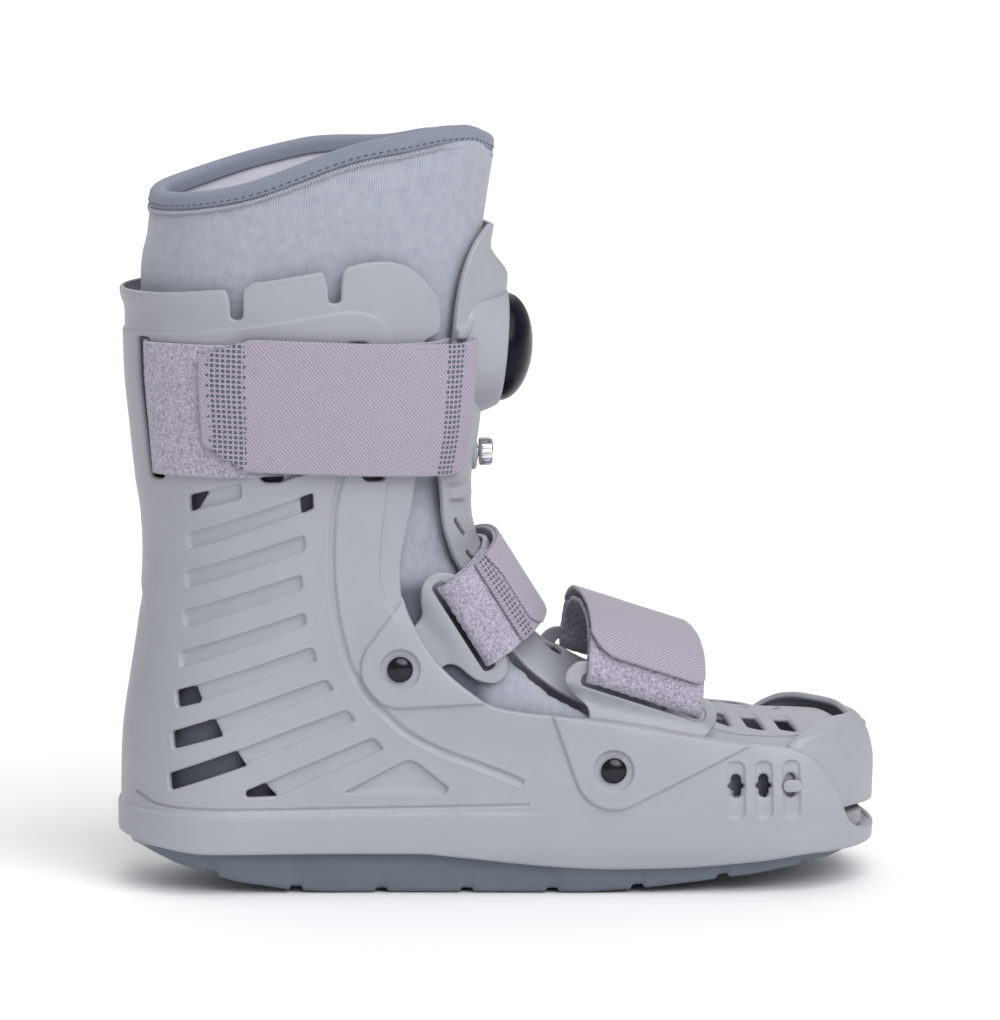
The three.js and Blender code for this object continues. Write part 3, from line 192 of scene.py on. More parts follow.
class Rows:
    """A table whose first column rises, read between its rows on smooth curves."""

    def __init__(self, rows: Line) -> None:
        """Works out the slope of each column at each row."""
        table = np.array(rows, float)
        self.x, self.y = table[:, 0], table[:, 1:]
        slope = np.diff(self.y, axis=0) / np.diff(self.x)[:, None]
        before, after = slope[:-1], slope[1:]
        same = before * after > 0
        inner = np.where(same, 2 * before * after / np.where(same, before + after, 1), 0)
        self.tangent = np.vstack([slope[:1], inner, slope[-1:]])

    def __call__(self, value: Points) -> Points:
        """Returns one row of columns for each value."""
        v = np.clip(np.asarray(value, float), self.x[0], self.x[-1])
        i = np.clip(np.searchsorted(self.x, v, side="left") - 1, 0, len(self.x) - 2)
        span = (self.x[i + 1] - self.x[i])[..., None]
        t = (v - self.x[i])[..., None] / span
        return ((2 * t**3 - 3 * t**2 + 1) * self.y[i] + (t**3 - 2 * t**2 + t) * span * self.tangent[i]
                + (3 * t**2 - 2 * t**3) * self.y[i + 1] + (t**3 - t**2) * span * self.tangent[i + 1])


class BootForm:
    """The outer form of the shell, by height and by the way round from heel to toe."""

    def __init__(self) -> None:
        """Tabulates the form once, so that places on it can be read by x or by distance round."""
        self.rows = Rows(FORM_ROWS)
        self.levels = np.arange(8.0, 307.0, 1.0)
        self.shares = np.linspace(0, 3, 361)
        share, z = np.meshgrid(self.shares, self.levels)
        self.x, self.w = self.point(share, z, np.zeros_like(z))
        steps = np.hypot(np.diff(self.x, axis=1), np.diff(self.w, axis=1))
        self.arc = np.hstack([np.zeros((len(self.levels), 1)), np.cumsum(steps, axis=1)])

    def point(self, share: Points, z: Points, offset: Points) -> tuple[Points, Points]:
        """Reads a place on the form.

        Args:
            share: 0 to 1 over the heel's end, 1 to 2 along the side and 2 to 3 over the toe's end.
            z: height.
            offset: how far out from the form.

        Returns:
            x and half width.
        """
        row = self.rows(z)
        back, front = row[..., 0] - offset, row[..., 1] + offset
        heel, ball = row[..., 2] + offset, row[..., 3] + offset
        cap_back, cap_front = row[..., 4] + offset, row[..., 5] + offset
        rear, fore = back + cap_back, front - cap_front
        power = 2 / ROUND
        a = np.clip(share, 0, 1) * math.pi / 2
        b = np.clip(share - 2, 0, 1) * math.pi / 2
        t = np.clip(share - 1, 0, 1)
        cos_a, sin_a = np.abs(np.cos(a)) ** power, np.abs(np.sin(a)) ** power
        cos_b, sin_b = np.abs(np.cos(b)) ** power, np.abs(np.sin(b)) ** power
        middle = heel + (ball - heel) * smoothstep(0, 1, t)
        toe_x = np.where(share <= 2, rear + (fore - rear) * t, fore + cap_front * sin_b)
        x = np.where(share <= 1, rear - cap_back * cos_a, toe_x)
        w = np.where(share <= 1, heel * sin_a, np.where(share <= 2, middle, ball * cos_b))
        return x, np.where(w < 1e-4, 0, w)

    def _by_level(self, value: Points, z: Points, given: Points, wanted: Points) -> Points:
        """Reads one table of the form by another, between the two nearest heights.

        Args:
            value: what is looked up.
            z: its height.
            given: the table that holds such values, a row for each height.
            wanted: the table that is read.

        Returns:
            The wanted values.
        """
        value, z = np.broadcast_arrays(np.asarray(value, float), np.asarray(z, float))
        place = np.clip((z - self.levels[0]) / 1.0, 0, len(self.levels) - 1.001)
        low = place.astype(int)
        part = place - low
        result = np.zeros(value.shape)
        for k in np.unique(low):
            here = low == k
            a = np.interp(value[here], given[k], wanted[k])
            b = np.interp(value[here], given[k + 1], wanted[k + 1])
            result[here] = a + (b - a) * part[here]
        return result

    def share_of_arc(self, arc: Points, z: Points) -> Points:
        """Share of the way round at a distance from the heel's middle."""
        shares = np.broadcast_to(self.shares, self.x.shape)
        return self._by_level(arc, z, self.arc, shares)

    def arc_of_x(self, x: Points, z: Points) -> Points:
        """Distance from the heel's middle at which the form reaches x."""
        return self._by_level(x, z, self.x, self.arc)

    def half_width(self, x: Points, z: Points, offset: float = 0.0) -> Points:
        """Half width of the form at x, an offset out from it."""
        x, z = np.broadcast_arrays(np.asarray(x, float), np.asarray(z, float))
        row = self.rows(z)
        cap_back, cap_front = row[..., 4] + offset, row[..., 5] + offset
        rear, fore = row[..., 0] - offset + cap_back, row[..., 1] + offset - cap_front
        heel, ball = row[..., 2] + offset, row[..., 3] + offset

        def cap(distance: Points, length: Points) -> Points:
            """Share of the full width at a distance into one end."""
            return np.maximum(0, 1 - np.clip(distance / length, 0, 1) ** ROUND) ** (1 / ROUND)

        middle = heel + (ball - heel) * smoothstep(0, 1, (x - rear) / np.maximum(1e-6, fore - rear))
        ahead = np.where(x > fore, ball * cap(x - fore, cap_front), middle)
        return np.where(x < rear, heel * cap(rear - x, cap_back), ahead)

    def stand_out(self, x: Points, z: Points) -> Points:
        """How far the base band and the heel's lip stand out from the plain form."""
        band = 1.3 * (1 - smoothstep(32.4, 33.8, z)) * (1 - smoothstep(-20, 25, x))
        return band + 2.4 * smoothstep(229, 237, z) * (1 - smoothstep(-138, -110, x))


FORM = BootForm()


def resample(line: Line, step: float, closed: bool = False) -> Points:
    """Puts points at an even step along a line, keeping its corners."""
    points = np.array(line, float)
    if closed:
        points = np.vstack([points, points[:1]])
    out = []
    for a, b in zip(points[:-1], points[1:]):
        count = max(1, int(round(np.linalg.norm(b - a) / step)))
        out.extend(a + (b - a) * k / count for k in range(count))
    if not closed:
        out.append(points[-1])
    return np.array(out)


def rounded(points: Line, radius: float, steps: int = 5, closed: bool = True) -> Points:
    """Rounds the corners of an outline.

    Args:
        points: the outline's corners.
        radius: how far along each side the rounding reaches.
        steps: segments to a corner.
        closed: whether the last corner joins the first.

    Returns:
        The outline's points, corners replaced by short curves.
    """
    corners = np.array(points, float)
    count = len(corners)
    out = []
    for i, corner in enumerate(corners):
        if not closed and i in (0, count - 1):
            out.append(corner)
            continue
        before, after = corners[i - 1] - corner, corners[(i + 1) % count] - corner
        la, lb = np.linalg.norm(before), np.linalg.norm(after)
        reach = min(radius, 0.46 * la, 0.46 * lb)
        start, end = corner + before / la * reach, corner + after / lb * reach
        for k in range(steps + 1):
            t = k / steps
            out.append((1 - t) ** 2 * start + 2 * t * (1 - t) * corner + t * t * end)
    return np.array(out)


def lengths(line: Points) -> Points:
    """Distance along a line at each of its points."""
    return np.concatenate([[0], np.cumsum(np.linalg.norm(np.diff(line, axis=0), axis=1))])


def flowing(points: Line, step: float) -> Points:
    """A smooth curve through points, sampled at an even step."""
    p = np.array(points, float)
    along = lengths(p)
    read = Rows(np.column_stack([along, p]))
    return read(np.linspace(0, along[-1], max(2, int(along[-1] / step))))


def inside(points: Points, loop: Points) -> Points:
    """Whether each point lies within a closed outline."""
    x, y = points[:, 0], points[:, 1]
    result = np.zeros(len(points), bool)
    for (x0, y0), (x1, y1) in zip(loop, np.roll(loop, -1, axis=0)):
        if y0 == y1:
            continue
        crosses = ((y0 > y) != (y1 > y)) & (x < (x1 - x0) * (y - y0) / (y1 - y0) + x0)
        result ^= crosses
    return result


def distance(points: Points, line: Points, closed: bool) -> Points:
    """Measures from each point to a line of short segments.

    Args:
        points: the points to measure from.
        line: the line's points.
        closed: whether the last joins the first.

    Returns:
        The distances; those over FAR read FAR.
    """
    result = np.full(len(points), FAR)
    low, high = line.min(0) - FAR, line.max(0) + FAR
    near = np.all((points > low) & (points < high), axis=1)
    p = points[near]
    if not len(p):
        return result
    best = np.full(len(p), FAR * FAR)
    ends = np.roll(line, -1, axis=0) if closed else line[1:]
    for a, b in zip(line[: len(ends)], ends):
        span = b - a
        length = float(span @ span)
        t = np.clip(((p - a) @ span) / length, 0, 1) if length > 1e-12 else np.zeros(len(p))
        gap = p - a - t[:, None] * span
        best = np.minimum(best, np.einsum("ij,ij->i", gap, gap))
    result[near] = np.sqrt(best)
    return result


def normals(loop: Points) -> Points:
    """Unit normals of a closed outline, one for each of its points."""
    along = np.roll(loop, -1, axis=0) - np.roll(loop, 1, axis=0)
    normal = np.column_stack([-along[:, 1], along[:, 0]])
    return normal / np.maximum(1e-9, np.linalg.norm(normal, axis=1))[:, None]


def edge_dip(gap: Points, radius: float) -> Points:
    """How far a rounded edge falls away from its face, by the distance from the edge."""
    return radius - np.sqrt(np.maximum(0, radius * radius - np.maximum(0, radius - gap) ** 2))


def point_tree(points: Points) -> kdtree.KDTree:
    """A search tree of flat points."""
    tree = kdtree.KDTree(len(points))
    for i, point in enumerate(points):
        tree.insert((*point, 0), i)
    tree.balance()
    return tree


@dataclass
class Relief:
    """An outline whose inside stands out, or sinks, by a height over a short ramp.

    Attributes:
        outline: the flat outline.
        rise: height, less than 0 where it sinks.
        ramp: width of the slope inside the outline.
        inverted: whether the outside is raised in place of the inside.
        above: z over which the relief fades in, over FADE.
        lip: height of the thin lip along the outline.
    """

    FADE: ClassVar[float] = 14.0
    LIP_MIDDLE: ClassVar[float] = 0.7
    LIP_WIDTH: ClassVar[float] = 0.55

    outline: Points
    rise: float
    ramp: float = 0.8
    inverted: bool = False
    above: Optional[float] = None
    lip: float = 0.0

    def height(self, points: Points) -> Points:
        """Height that the relief adds at each point."""
        gap = distance(points, self.outline, True)
        within = inside(points, self.outline)
        signed = np.where(within != self.inverted, gap, 0)
        amount = self.rise * smoothstep(0, self.ramp, signed)
        if self.lip:
            outside = np.where(within != self.inverted, -gap, gap)
            amount = amount + self.lip * np.exp(-(((outside - self.LIP_MIDDLE) / self.LIP_WIDTH) ** 2))
        if self.above is None:
            return amount
        return amount * smoothstep(self.above, self.above + self.FADE, points[:, 1])


@dataclass
class Sheet:
    """A moulded or cut sheet, drawn flat with its holes and relief and then laid on its surface.

    Attributes:
        boundary: the flat outline, in millimetres.
        holes: outlines cut through.
        reliefs: raised and sunk outlines.
        guides: extra points where the surface bends.
        thickness: wall, measured inwards from the outer side.
        rounding: radius on the outer side's edges.
        inner_rounding: radius on the inner side's edges.
        spacing: spacing of the points between outlines.
        edge: spacing of the points along outlines.
        midline: for half a piece that is mirrored in the boot's middle plane, tells which points lie in it.
    """

    boundary: Points
    holes: list[Points] = field(default_factory=list)
    reliefs: list[Relief] = field(default_factory=list)
    guides: list[Points] = field(default_factory=list)
    thickness: float = WALL
    rounding: float = 0.6
    inner_rounding: float = 0.3
    spacing: float = 3.2
    edge: float = 0.9
    midline: Optional[Callable[[Points], Points]] = None

    def _loops(self) -> list[Points]:
        """The boundary and the holes, with points at an even step."""
        return [resample(loop, self.edge, True) for loop in [self.boundary, *self.holes]]

    def _edge_distance(self, points: Points, loops: list[Points]) -> Points:
        """Measures to the nearest free edge, leaving out the middle plane.

        Args:
            points: the points to measure from.
            loops: the outline and the holes.

        Returns:
            The distances.
        """
        result = np.full(len(points), FAR)
        for loop in loops:
            line = np.vstack([loop, loop[:1]])
            if self.midline is None:
                result = np.minimum(result, distance(points, line, False))
                continue
            on_middle = self.midline(line)
            pieces, current = [], []
            for point, middle, following in zip(line, on_middle, np.append(on_middle[1:], False)):
                current.append(point)
                if middle and following:
                    pieces.append(current)
                    current = []
            pieces.append(current)
            for piece in pieces:
                if len(piece) > 2:
                    result = np.minimum(result, distance(points, np.array(piece), False))
        return result

    def _points(self, loops: list[Points]) -> tuple[Points, list[tuple[int, int]]]:
        """Fills the sheet with points.

        Args:
            loops: the outline and the holes.

        Returns:
            All the flat points, and the edges that the triangles have to keep.
        """
        kept, edges = [], []
        count = 0
        for loop in loops:
            edges.extend((count + i, count + (i + 1) % len(loop)) for i in range(len(loop)))
            kept.append(loop)
            count += len(loop)
        beside = [*self._beside_edges(loops), *self._beside_reliefs(), *self.guides]
        for cloud, clear in ((np.vstack(beside), 0.22 * self.edge), (self._grid(), 0.6 * self.spacing)):
            within = inside(cloud, self.boundary)
            for hole in self.holes:
                within &= ~inside(cloud, hole)
            fresh = self._spaced(cloud[within], point_tree(np.vstack(kept)), clear)
            if fresh:
                kept.append(np.array(fresh))
        return np.vstack(kept), edges

    def _beside_edges(self, loops: list[Points]) -> list[Points]:
        """Points along both sides of each edge, where it is rounded."""
        found = []
        for loop in loops:
            normal = normals(loop)
            for away in (0.3, 0.7):
                found += [loop + normal * away * side * max(self.rounding, 0.4) for side in (-1, 1)]
            found += [loop + normal * side * max(self.rounding, 0.5) * 1.6 for side in (-1, 1)]
        return found

    def _beside_reliefs(self) -> list[Points]:
        """Points over the ramp of each relief."""
        found = []
        for relief in self.reliefs:
            loop = resample(relief.outline, self.edge, True)
            normal = normals(loop)
            for away in (0, 0.33, 0.66, 1):
                sides = (-1, 1) if away else (1,)
                found += [loop + normal * side * away * relief.ramp for side in sides]
            found += [loop + normal * side * (relief.ramp + 0.7) for side in (-1, 1)]
        return found

    def _grid(self) -> Points:
        """A grid of even triangles over the whole sheet."""
        low, high = self.boundary.min(0), self.boundary.max(0)
        columns = np.arange(low[0], high[0], self.spacing)
        lines = np.arange(low[1], high[1], self.spacing * 0.87)
        return np.array([(x + k % 2 * self.spacing / 2, y) for k, y in enumerate(lines) for x in columns])

    @staticmethod
    def _spaced(cloud: Points, held: kdtree.KDTree, clear: float) -> list[Points]:
        """Leaves out points that crowd others.

        Args:
            cloud: the points to choose from.
            held: the points that are there already.
            clear: the least distance between two.

        Returns:
            The points that are left.
        """
        fresh = []
        cells: dict[tuple[int, int], list[Points]] = {}
        for point in cloud:
            if held.find((*point, 0))[2] < clear:
                continue
            cell = (int(point[0] // clear), int(point[1] // clear))
            close = any(
                abs(q[0] - point[0]) < clear and abs(q[1] - point[1]) < clear
                for dx in (-1, 0, 1) for dy in (-1, 0, 1) for q in cells.get((cell[0] + dx, cell[1] + dy), ())
            )
            if close and clear < 1:
                continue
            cells.setdefault(cell, []).append(point)
            fresh.append(point)
        return fresh

    def build(self, place: Place, finish_of: Optional[Place] = None) -> Mesh:
        """Makes the sheet's mesh.

        Args:
            place: turns flat points and heights into places on the boot, in millimetres.
            finish_of: material index for each flat point and side, the side being 1 outside and 0 inside.

        Returns:
            A closed mesh in metres, with a UV map of the flat drawing in metres.
        """
        loops = self._loops()
        points, edges = self._points(loops)
        found = delaunay_2d_cdt([Vector(p) for p in points], edges, [], 0, 1e-5)
        flat = np.array([tuple(v) for v in found[0]])
        triangles = np.array([f for f in found[2] if len(f) == 3])
        middle = flat[triangles].mean(axis=1)
        keep = inside(middle, loops[0])
        for loop in loops[1:]:
            keep &= ~inside(middle, loop)
        a, b, c = (flat[triangles[:, k]] for k in range(3))
        area = (b[:, 0] - a[:, 0]) * (c[:, 1] - a[:, 1]) - (c[:, 0] - a[:, 0]) * (b[:, 1] - a[:, 1])
        triangles = triangles[keep & (np.abs(area) > 1e-7)]
        used = np.unique(triangles)
        index = np.full(len(flat), -1)
        index[used] = np.arange(len(used))
        flat, triangles = flat[used], index[triangles]
        gap = self._edge_distance(flat, loops)
        height = sum((relief.height(flat) for relief in self.reliefs), np.zeros(len(flat)))
        outer = place(flat, height - edge_dip(gap, self.rounding))
        inner = place(flat, edge_dip(gap, self.inner_rounding) - self.thickness)
        count = len(flat)
        sides: dict[tuple[int, int], int] = {}
        for face in triangles:
            for i, j in ((face[0], face[1]), (face[1], face[2]), (face[2], face[0])):
                if (j, i) in sides:
                    del sides[(j, i)]
                else:
                    sides[(i, j)] = 1
        on_middle = self.midline(flat) if self.midline is not None else np.zeros(count, bool)
        wall = [(j, i, i + count, j + count) for i, j in sides if not (on_middle[i] and on_middle[j])]
        faces = [tuple(f) for f in triangles] + [tuple(f[::-1] + count) for f in triangles] + wall
        vertices = np.vstack([outer, inner]) * MM
        if self.midline is not None:
            vertices[np.concatenate([on_middle, on_middle]), 1] = 0
        mesh = bpy.data.meshes.new("sheet")
        mesh.from_pydata(vertices.tolist(), [], [tuple(int(i) for i in f) for f in faces])
        layer = mesh.uv_layers.new(name="flat")
        corner = np.zeros(len(mesh.loops), int)
        mesh.loops.foreach_get("vertex_index", corner)
        layer.data.foreach_set("uv", (np.vstack([flat, flat])[corner] * MM).ravel())
        if finish_of is not None:
            face_flat = np.array([np.vstack([flat, flat])[list(f)].mean(axis=0) for f in faces])
            side = np.array([1 if min(f) < count else 0 for f in faces])
            mesh.polygons.foreach_set("material_index", finish_of(face_flat, side).astype(int))
        shape = bmesh.new()
        shape.from_mesh(mesh)
        if self.midline is not None:
            bmesh.ops.mirror(shape, geom=shape.verts[:] + shape.edges[:] + shape.faces[:],
                             matrix=Matrix.Identity(4), merge_dist=MERGE, axis="Y")
        bmesh.ops.recalc_face_normals(shape, faces=shape.faces[:])
        for face in shape.faces:
            face.smooth = True
        shape.to_mesh(mesh)
        shape.free()
        return mesh


class Slot(Enum):
    """The record's material slots."""

    SHELL = "shell"
    SOLE = "sole"
    INSOLE = "insole"
    LINER = "liner"
    BINDING = "binding"
    STRAP = "strap"
    PILE = "pile"
    BULB = "bulb"
    RIVET = "rivet"
    VALVE = "valve"


def linear(code: str) -> tuple[float, float, float, float]:
    """Turns an sRGB hex colour into linear values."""
    values = [int(code[i:i + 2], 16) / 255 for i in (1, 3, 5)]
    return (*(v / 12.92 if v <= 0.04045 else ((v + 0.055) / 1.055) ** 2.4 for v in values), 1.0)


def add_node(material: Material, kind: str, inputs: Optional[dict] = None,
             **settings: object) -> Node:
    """Adds a shader node.

    Args:
        material: the material that gets it.
        kind: the node's type name, without the words that all shader nodes' names start with.
        inputs: values of its inputs, or nodes or sockets to join to them, by name or number.
        settings: its other settings by name.

    Returns:
        The new node.
    """
    node = material.node_tree.nodes.new("ShaderNode" + kind)
    for key, value in settings.items():
        setattr(node, key, value)
    for key, value in (inputs or {}).items():
        if isinstance(value, Node):
            value = value.outputs[0]
        if isinstance(value, NodeSocket):
            material.node_tree.links.new(value, node.inputs[key])
        else:
            node.inputs[key].default_value = value
    return node


@dataclass(frozen=True)
class Finish:
    """A material: its colour, gloss and the way its surface was made."""

    name: str
    colour: str
    roughness: float
    metallic: float = 0.0
    grain: float = 0.5  # size of the fine surface texture, in millimetres
    grain_depth: float = 0.02
    mottle: str = ""  # second colour, which drifts slowly over the surface; the knit, weave and pile also use it as painted shade in their hollows
    sheen: float = 0.0
    specular: float = 0.5
    drift: float = 18.0  # how far apart the mottle's patches lie, in millimetres

    def start(self) -> tuple[Material, AddNode, NodeSocket]:
        """Starts the material.

        Returns:
            The material, the function that adds a node to it, and the piece's own coordinates.
        """
        material = bpy.data.materials.new(self.name)
        material.use_nodes = True
        material.node_tree.nodes.clear()
        add = partial(add_node, material)
        return material, add, add("TexCoord").outputs["Object"]

    def close(self, add: AddNode, inputs: dict) -> None:
        """Adds the shader with its plain values and the inputs that are given."""
        shader = add("BsdfPrincipled", {
            "Base Color": linear(self.colour), "Roughness": self.roughness, "Metallic": self.metallic,
            "Sheen Weight": self.sheen, "Sheen Roughness": 0.45, "Specular IOR Level": self.specular,
            **inputs,
        })
        add("OutputMaterial", {"Surface": shader})

    def build(self) -> Material:
        """Makes the plain finish, with fine grain and a slow drift of colour and gloss.

        Returns:
            The material.
        """
        material, add, where = self.start()
        inputs = {}
        if self.grain_depth:
            grain = add("TexNoise", {"Vector": where, "Scale": 1 / (self.grain * MM), "Detail": 3})
            inputs["Normal"] = add("Bump", {"Height": grain, "Distance": self.grain_depth * MM})
        if self.mottle:
            drift = add("TexNoise", {"Vector": where, "Scale": 1 / (self.drift * MM), "Detail": 4})
            patches = add("MapRange", {0: drift, 1: 0.35, 2: 0.7})
            colours = {0: patches, 6: linear(self.colour), 7: linear(self.mottle)}
            inputs["Base Color"] = add("Mix", colours, data_type="RGBA").outputs[2]
            gloss = {0: drift, 3: self.roughness - 0.04, 4: self.roughness + 0.05}
            inputs["Roughness"] = add("MapRange", gloss)
        self.close(add, inputs)
        return material


@dataclass(frozen=True)
class KnitFinish(Finish):
    """Ribbed knit: fine upright ribs that follow the leg, with painted shadow where the shell shades it."""

    heel: str = "#5C606C"  # painted shadow: darker knit colour standing in for the shade the shell casts on the liner
    pitch: float = 1.0  # ribs are drawn a little wider than the real ones, about 0.8 mm, so that they show
    rib_depth: float = 0.04
    blot: float = 3.5  # size of the paler and darker blots

    def build(self) -> Material:
        """Makes the knit, reading how far round the leg each point lies and how much painted shadow it gets.

        Returns:
            The material.
        """
        material, add, where = self.start()
        fuzz = add("TexNoise", {"Vector": where, "Scale": 1 / (self.grain * MM), "Detail": 2})
        under = add("Bump", {"Height": fuzz, "Distance": self.grain_depth * MM})
        round_leg = add("Attribute", attribute_name="round_leg").outputs["Fac"]
        phase = add("Math", {0: round_leg, 1: 2 * math.pi / self.pitch}, operation="MULTIPLY")
        wave = add("Math", {0: phase}, operation="SINE")
        ribs = add("Bump", {"Height": wave, "Distance": self.rib_depth * MM, "Normal": under})
        blot = add("TexNoise", {"Vector": where, "Scale": 1 / (self.blot * MM), "Detail": 3})
        # painted shade: the rib valleys are darkened; the blots vary the tone at random
        valley = add("MapRange", {0: wave, 1: -1.0, 2: 1.0, 3: 0.45, 4: 0.0})
        shade = add("Math", {0: blot, 1: 0.7, 2: valley}, operation="MULTIPLY_ADD")
        colours = {0: shade, 6: linear(self.colour), 7: linear(self.mottle)}
        knit = add("Mix", colours, data_type="RGBA").outputs[2]
        # painted shadow: the knit turns to the darker heel colour where the heel attribute marks the shell's
        # shade
        heel = add("Attribute", attribute_name="heel").outputs["Fac"]
        mixed = add("Mix", {0: heel, 6: knit, 7: linear(self.heel)}, data_type="RGBA").outputs[2]
        self.close(add, {"Normal": ribs, "Base Color": mixed})
        return material


@dataclass(frozen=True)
class WovenFinish(Finish):
    """Woven tape, with welded dots where an attribute asks for them.

    Attributes:
        warp: pitch of the threads along the piece's flat map, in millimetres.
        weft: their pitch across it.
        slant: how far the first set leans.
        depth: depth of the weave.
        dots: colour of the welded dots, if it has them.
        dot_pitch: pitch of the dots.
        wobble: how far apart the threads' bends lie.
    """

    warp: float = 1.6
    weft: float = 1.6
    slant: float = 0.0
    depth: float = 0.12
    dots: str = ""
    dot_pitch: float = 2.0
    wobble: float = 6.0

    def build(self) -> Material:
        """Makes the weave from the flat map, in real millimetres.

        Returns:
            The material.
        """
        material, add, where = self.start()
        split = add("SeparateXYZ", {0: add("UVMap", uv_map="flat")})
        u, v = (add("Math", {0: split.outputs[k], 1: 1 / MM}, operation="MULTIPLY") for k in (0, 1))
        wobble = add("TexNoise", {"Vector": where, "Scale": 1 / (self.wobble * MM), "Detail": 2})
        skew = add("Math", {0: v, 1: self.slant, 2: u}, operation="MULTIPLY_ADD")
        bent = add("Math", {0: wobble, 1: 0.9, 2: skew}, operation="MULTIPLY_ADD")
        threads = []
        for along, pitch in ((bent, self.warp), (v, self.weft)):
            phase = add("Math", {0: along, 1: 2 * math.pi / pitch}, operation="MULTIPLY")
            threads.append(add("Math", {0: phase}, operation="SINE"))
        weave = add("Math", dict(enumerate(threads)), operation="MULTIPLY")
        fuzz = add("TexNoise", {"Vector": where, "Scale": 1 / (self.grain * MM), "Detail": 2})
        under = add("Bump", {"Height": fuzz, "Distance": self.grain_depth * MM})
        bump = add("Bump", {"Height": weave, "Distance": self.depth * MM, "Normal": under})
        # painted shade: the weave's low threads and the fuzz's hollows are darkened
        low = add("MapRange", {0: weave, 1: -0.9, 2: 0.7, 3: 0.8, 4: 0.0})
        shade = add("Math", {0: fuzz, 1: 0.4, 2: low}, operation="MULTIPLY_ADD")
        colours = {0: shade, 6: linear(self.colour), 7: linear(self.mottle)}
        colour = add("Mix", colours, data_type="RGBA").outputs[2]
        if self.dots:
            mark = add("Attribute", attribute_name="dots").outputs["Fac"]
            shown = add("Math", {0: mark, 1: 0.5}, operation="GREATER_THAN")
            for along, level in ((u, -0.5), (v, -0.35)):
                phase = add("Math", {0: along, 1: 2 * math.pi / self.dot_pitch}, operation="MULTIPLY")
                wave = add("Math", {0: phase}, operation="SINE")
                spot = add("Math", {0: wave, 1: level}, operation="GREATER_THAN")
                shown = add("Math", {0: shown, 1: spot}, operation="MULTIPLY")
            colour = add("Mix", {0: shown, 6: colour, 7: linear(self.dots)}, data_type="RGBA").outputs[2]
        self.close(add, {"Normal": bump, "Base Color": colour})
        return material


@dataclass(frozen=True)
class PileFinish(Finish):
    """Brushed loop pile: short fluffy fibres in soft tufts."""

    fibre: float = 0.7
    tuft: float = 1.3
    fibre_depth: float = 0.5
    tuft_depth: float = 1.0

    def build(self) -> Material:
        """Makes the pile from two sizes of tuft.

        Returns:
            The material.
        """
        material, add, where = self.start()
        fine = add("TexNoise", {"Vector": where, "Scale": 1 / (self.fibre * MM), "Detail": 4})
        tufts = add("TexNoise", {"Vector": where, "Scale": 1 / (self.tuft * MM), "Detail": 3})
        under = add("Bump", {"Height": fine, "Distance": self.fibre_depth * MM})
        bump = add("Bump", {"Height": tufts, "Distance": self.tuft_depth * MM, "Normal": under})
        # painted shade: the hollows between tufts and fibres are darkened
        both = add("Math", {0: fine, 1: tufts}, operation="ADD")
        shade = add("MapRange", {0: both, 1: 0.7, 2: 1.3, 3: 0.9, 4: 0.0})
        colours = {0: shade, 6: linear(self.colour), 7: linear(self.mottle)}
        mixed = add("Mix", colours, data_type="RGBA").outputs[2]
        self.close(add, {"Normal": bump, "Base Color": mixed})
        return material


# Moulded polypropylene with a fine eroded mould texture: broad soft highlights, cool grey
PLASTIC = Finish("moulded polypropylene", "#999BA3", 0.45, grain=0.7, grain_depth=0.015, mottle="#9698A0")
# Moulded rubber, matt, a little rough at its parting line
SOLE_RUBBER = Finish("moulded sole rubber", "#646C78", 0.78, grain=0.9, grain_depth=0.12, mottle="#5E6671")
# Spacer knit with a fine upright rib and a soft hand
KNIT = KnitFinish("ribbed knit", "#B0B3BD", 0.92, grain=0.7, grain_depth=0.12, mottle="#868B99", sheen=0.25)
# Brushed terry inside the bootie, paler than the knit
LINING = Finish("brushed lining", "#D3D2DC", 0.95, grain=0.9, grain_depth=0.15, mottle="#C8C7D2", sheen=0.3)
# Bias-cut twill tape, its ridges running aslant over the fold
TWILL = WovenFinish("twill tape", "#8B90A0", 0.85, grain=0.5, grain_depth=0.05, mottle="#727888", warp=1.5,
                    weft=60, slant=0.8, depth=0.1, sheen=0.15)
# Hook-backed nylon webbing: small offset picks that glint faintly
WEBBING = WovenFinish("woven nylon webbing", "#B3ABBB", 0.8, grain=0.9, grain_depth=0.12, mottle="#807888",
                      warp=1.5, weft=1.2, slant=0.35, depth=0.07, dots="#50525E", sheen=0.2)
# Loop pile brushed open so that the hooks hold: pale, fluffy, matt
PILE = PileFinish("brushed loop pile", "#BDB8C8", 0.95, mottle="#777083", sheen=0.4)
# Chlorobutyl rubber with the polish of its mould
BULB_RUBBER = Finish("polished black rubber", "#0A0C1A", 0.26, grain=2.0, grain_depth=0.004, specular=0.13)
# Black nickel on steel: a dark mirror
DARK_CHROME = Finish("black nickel plate", "#35363B", 0.2, metallic=1.0, grain=1.5, grain_depth=0.0)
# Bright nickel-chrome plate on brass
CHROME = Finish("chrome plate", "#DADBDE", 0.13, metallic=1.0, grain=1.5, grain_depth=0.0)
# Lockstitch thread, a little darker than the tape, and the paler flatlock below it
THREAD = Finish("polyester thread", "#4F5561", 0.7, grain=0.3, grain_depth=0.05)
BRAID = Finish("flatlock thread", "#A2A6B1", 0.85, grain=0.3, grain_depth=0.05)
# Brushed cover laminated to foam
FOAM = Finish("foam with brushed cover", "#8A8C93", 0.95, grain=0.8, grain_depth=0.12, mottle="#7F8188",
              sheen=0.2)
# Seamless white paper under the boot
PAPER = Finish("white paper floor", "#FAFAFB", 0.6, grain=3, grain_depth=0.0)


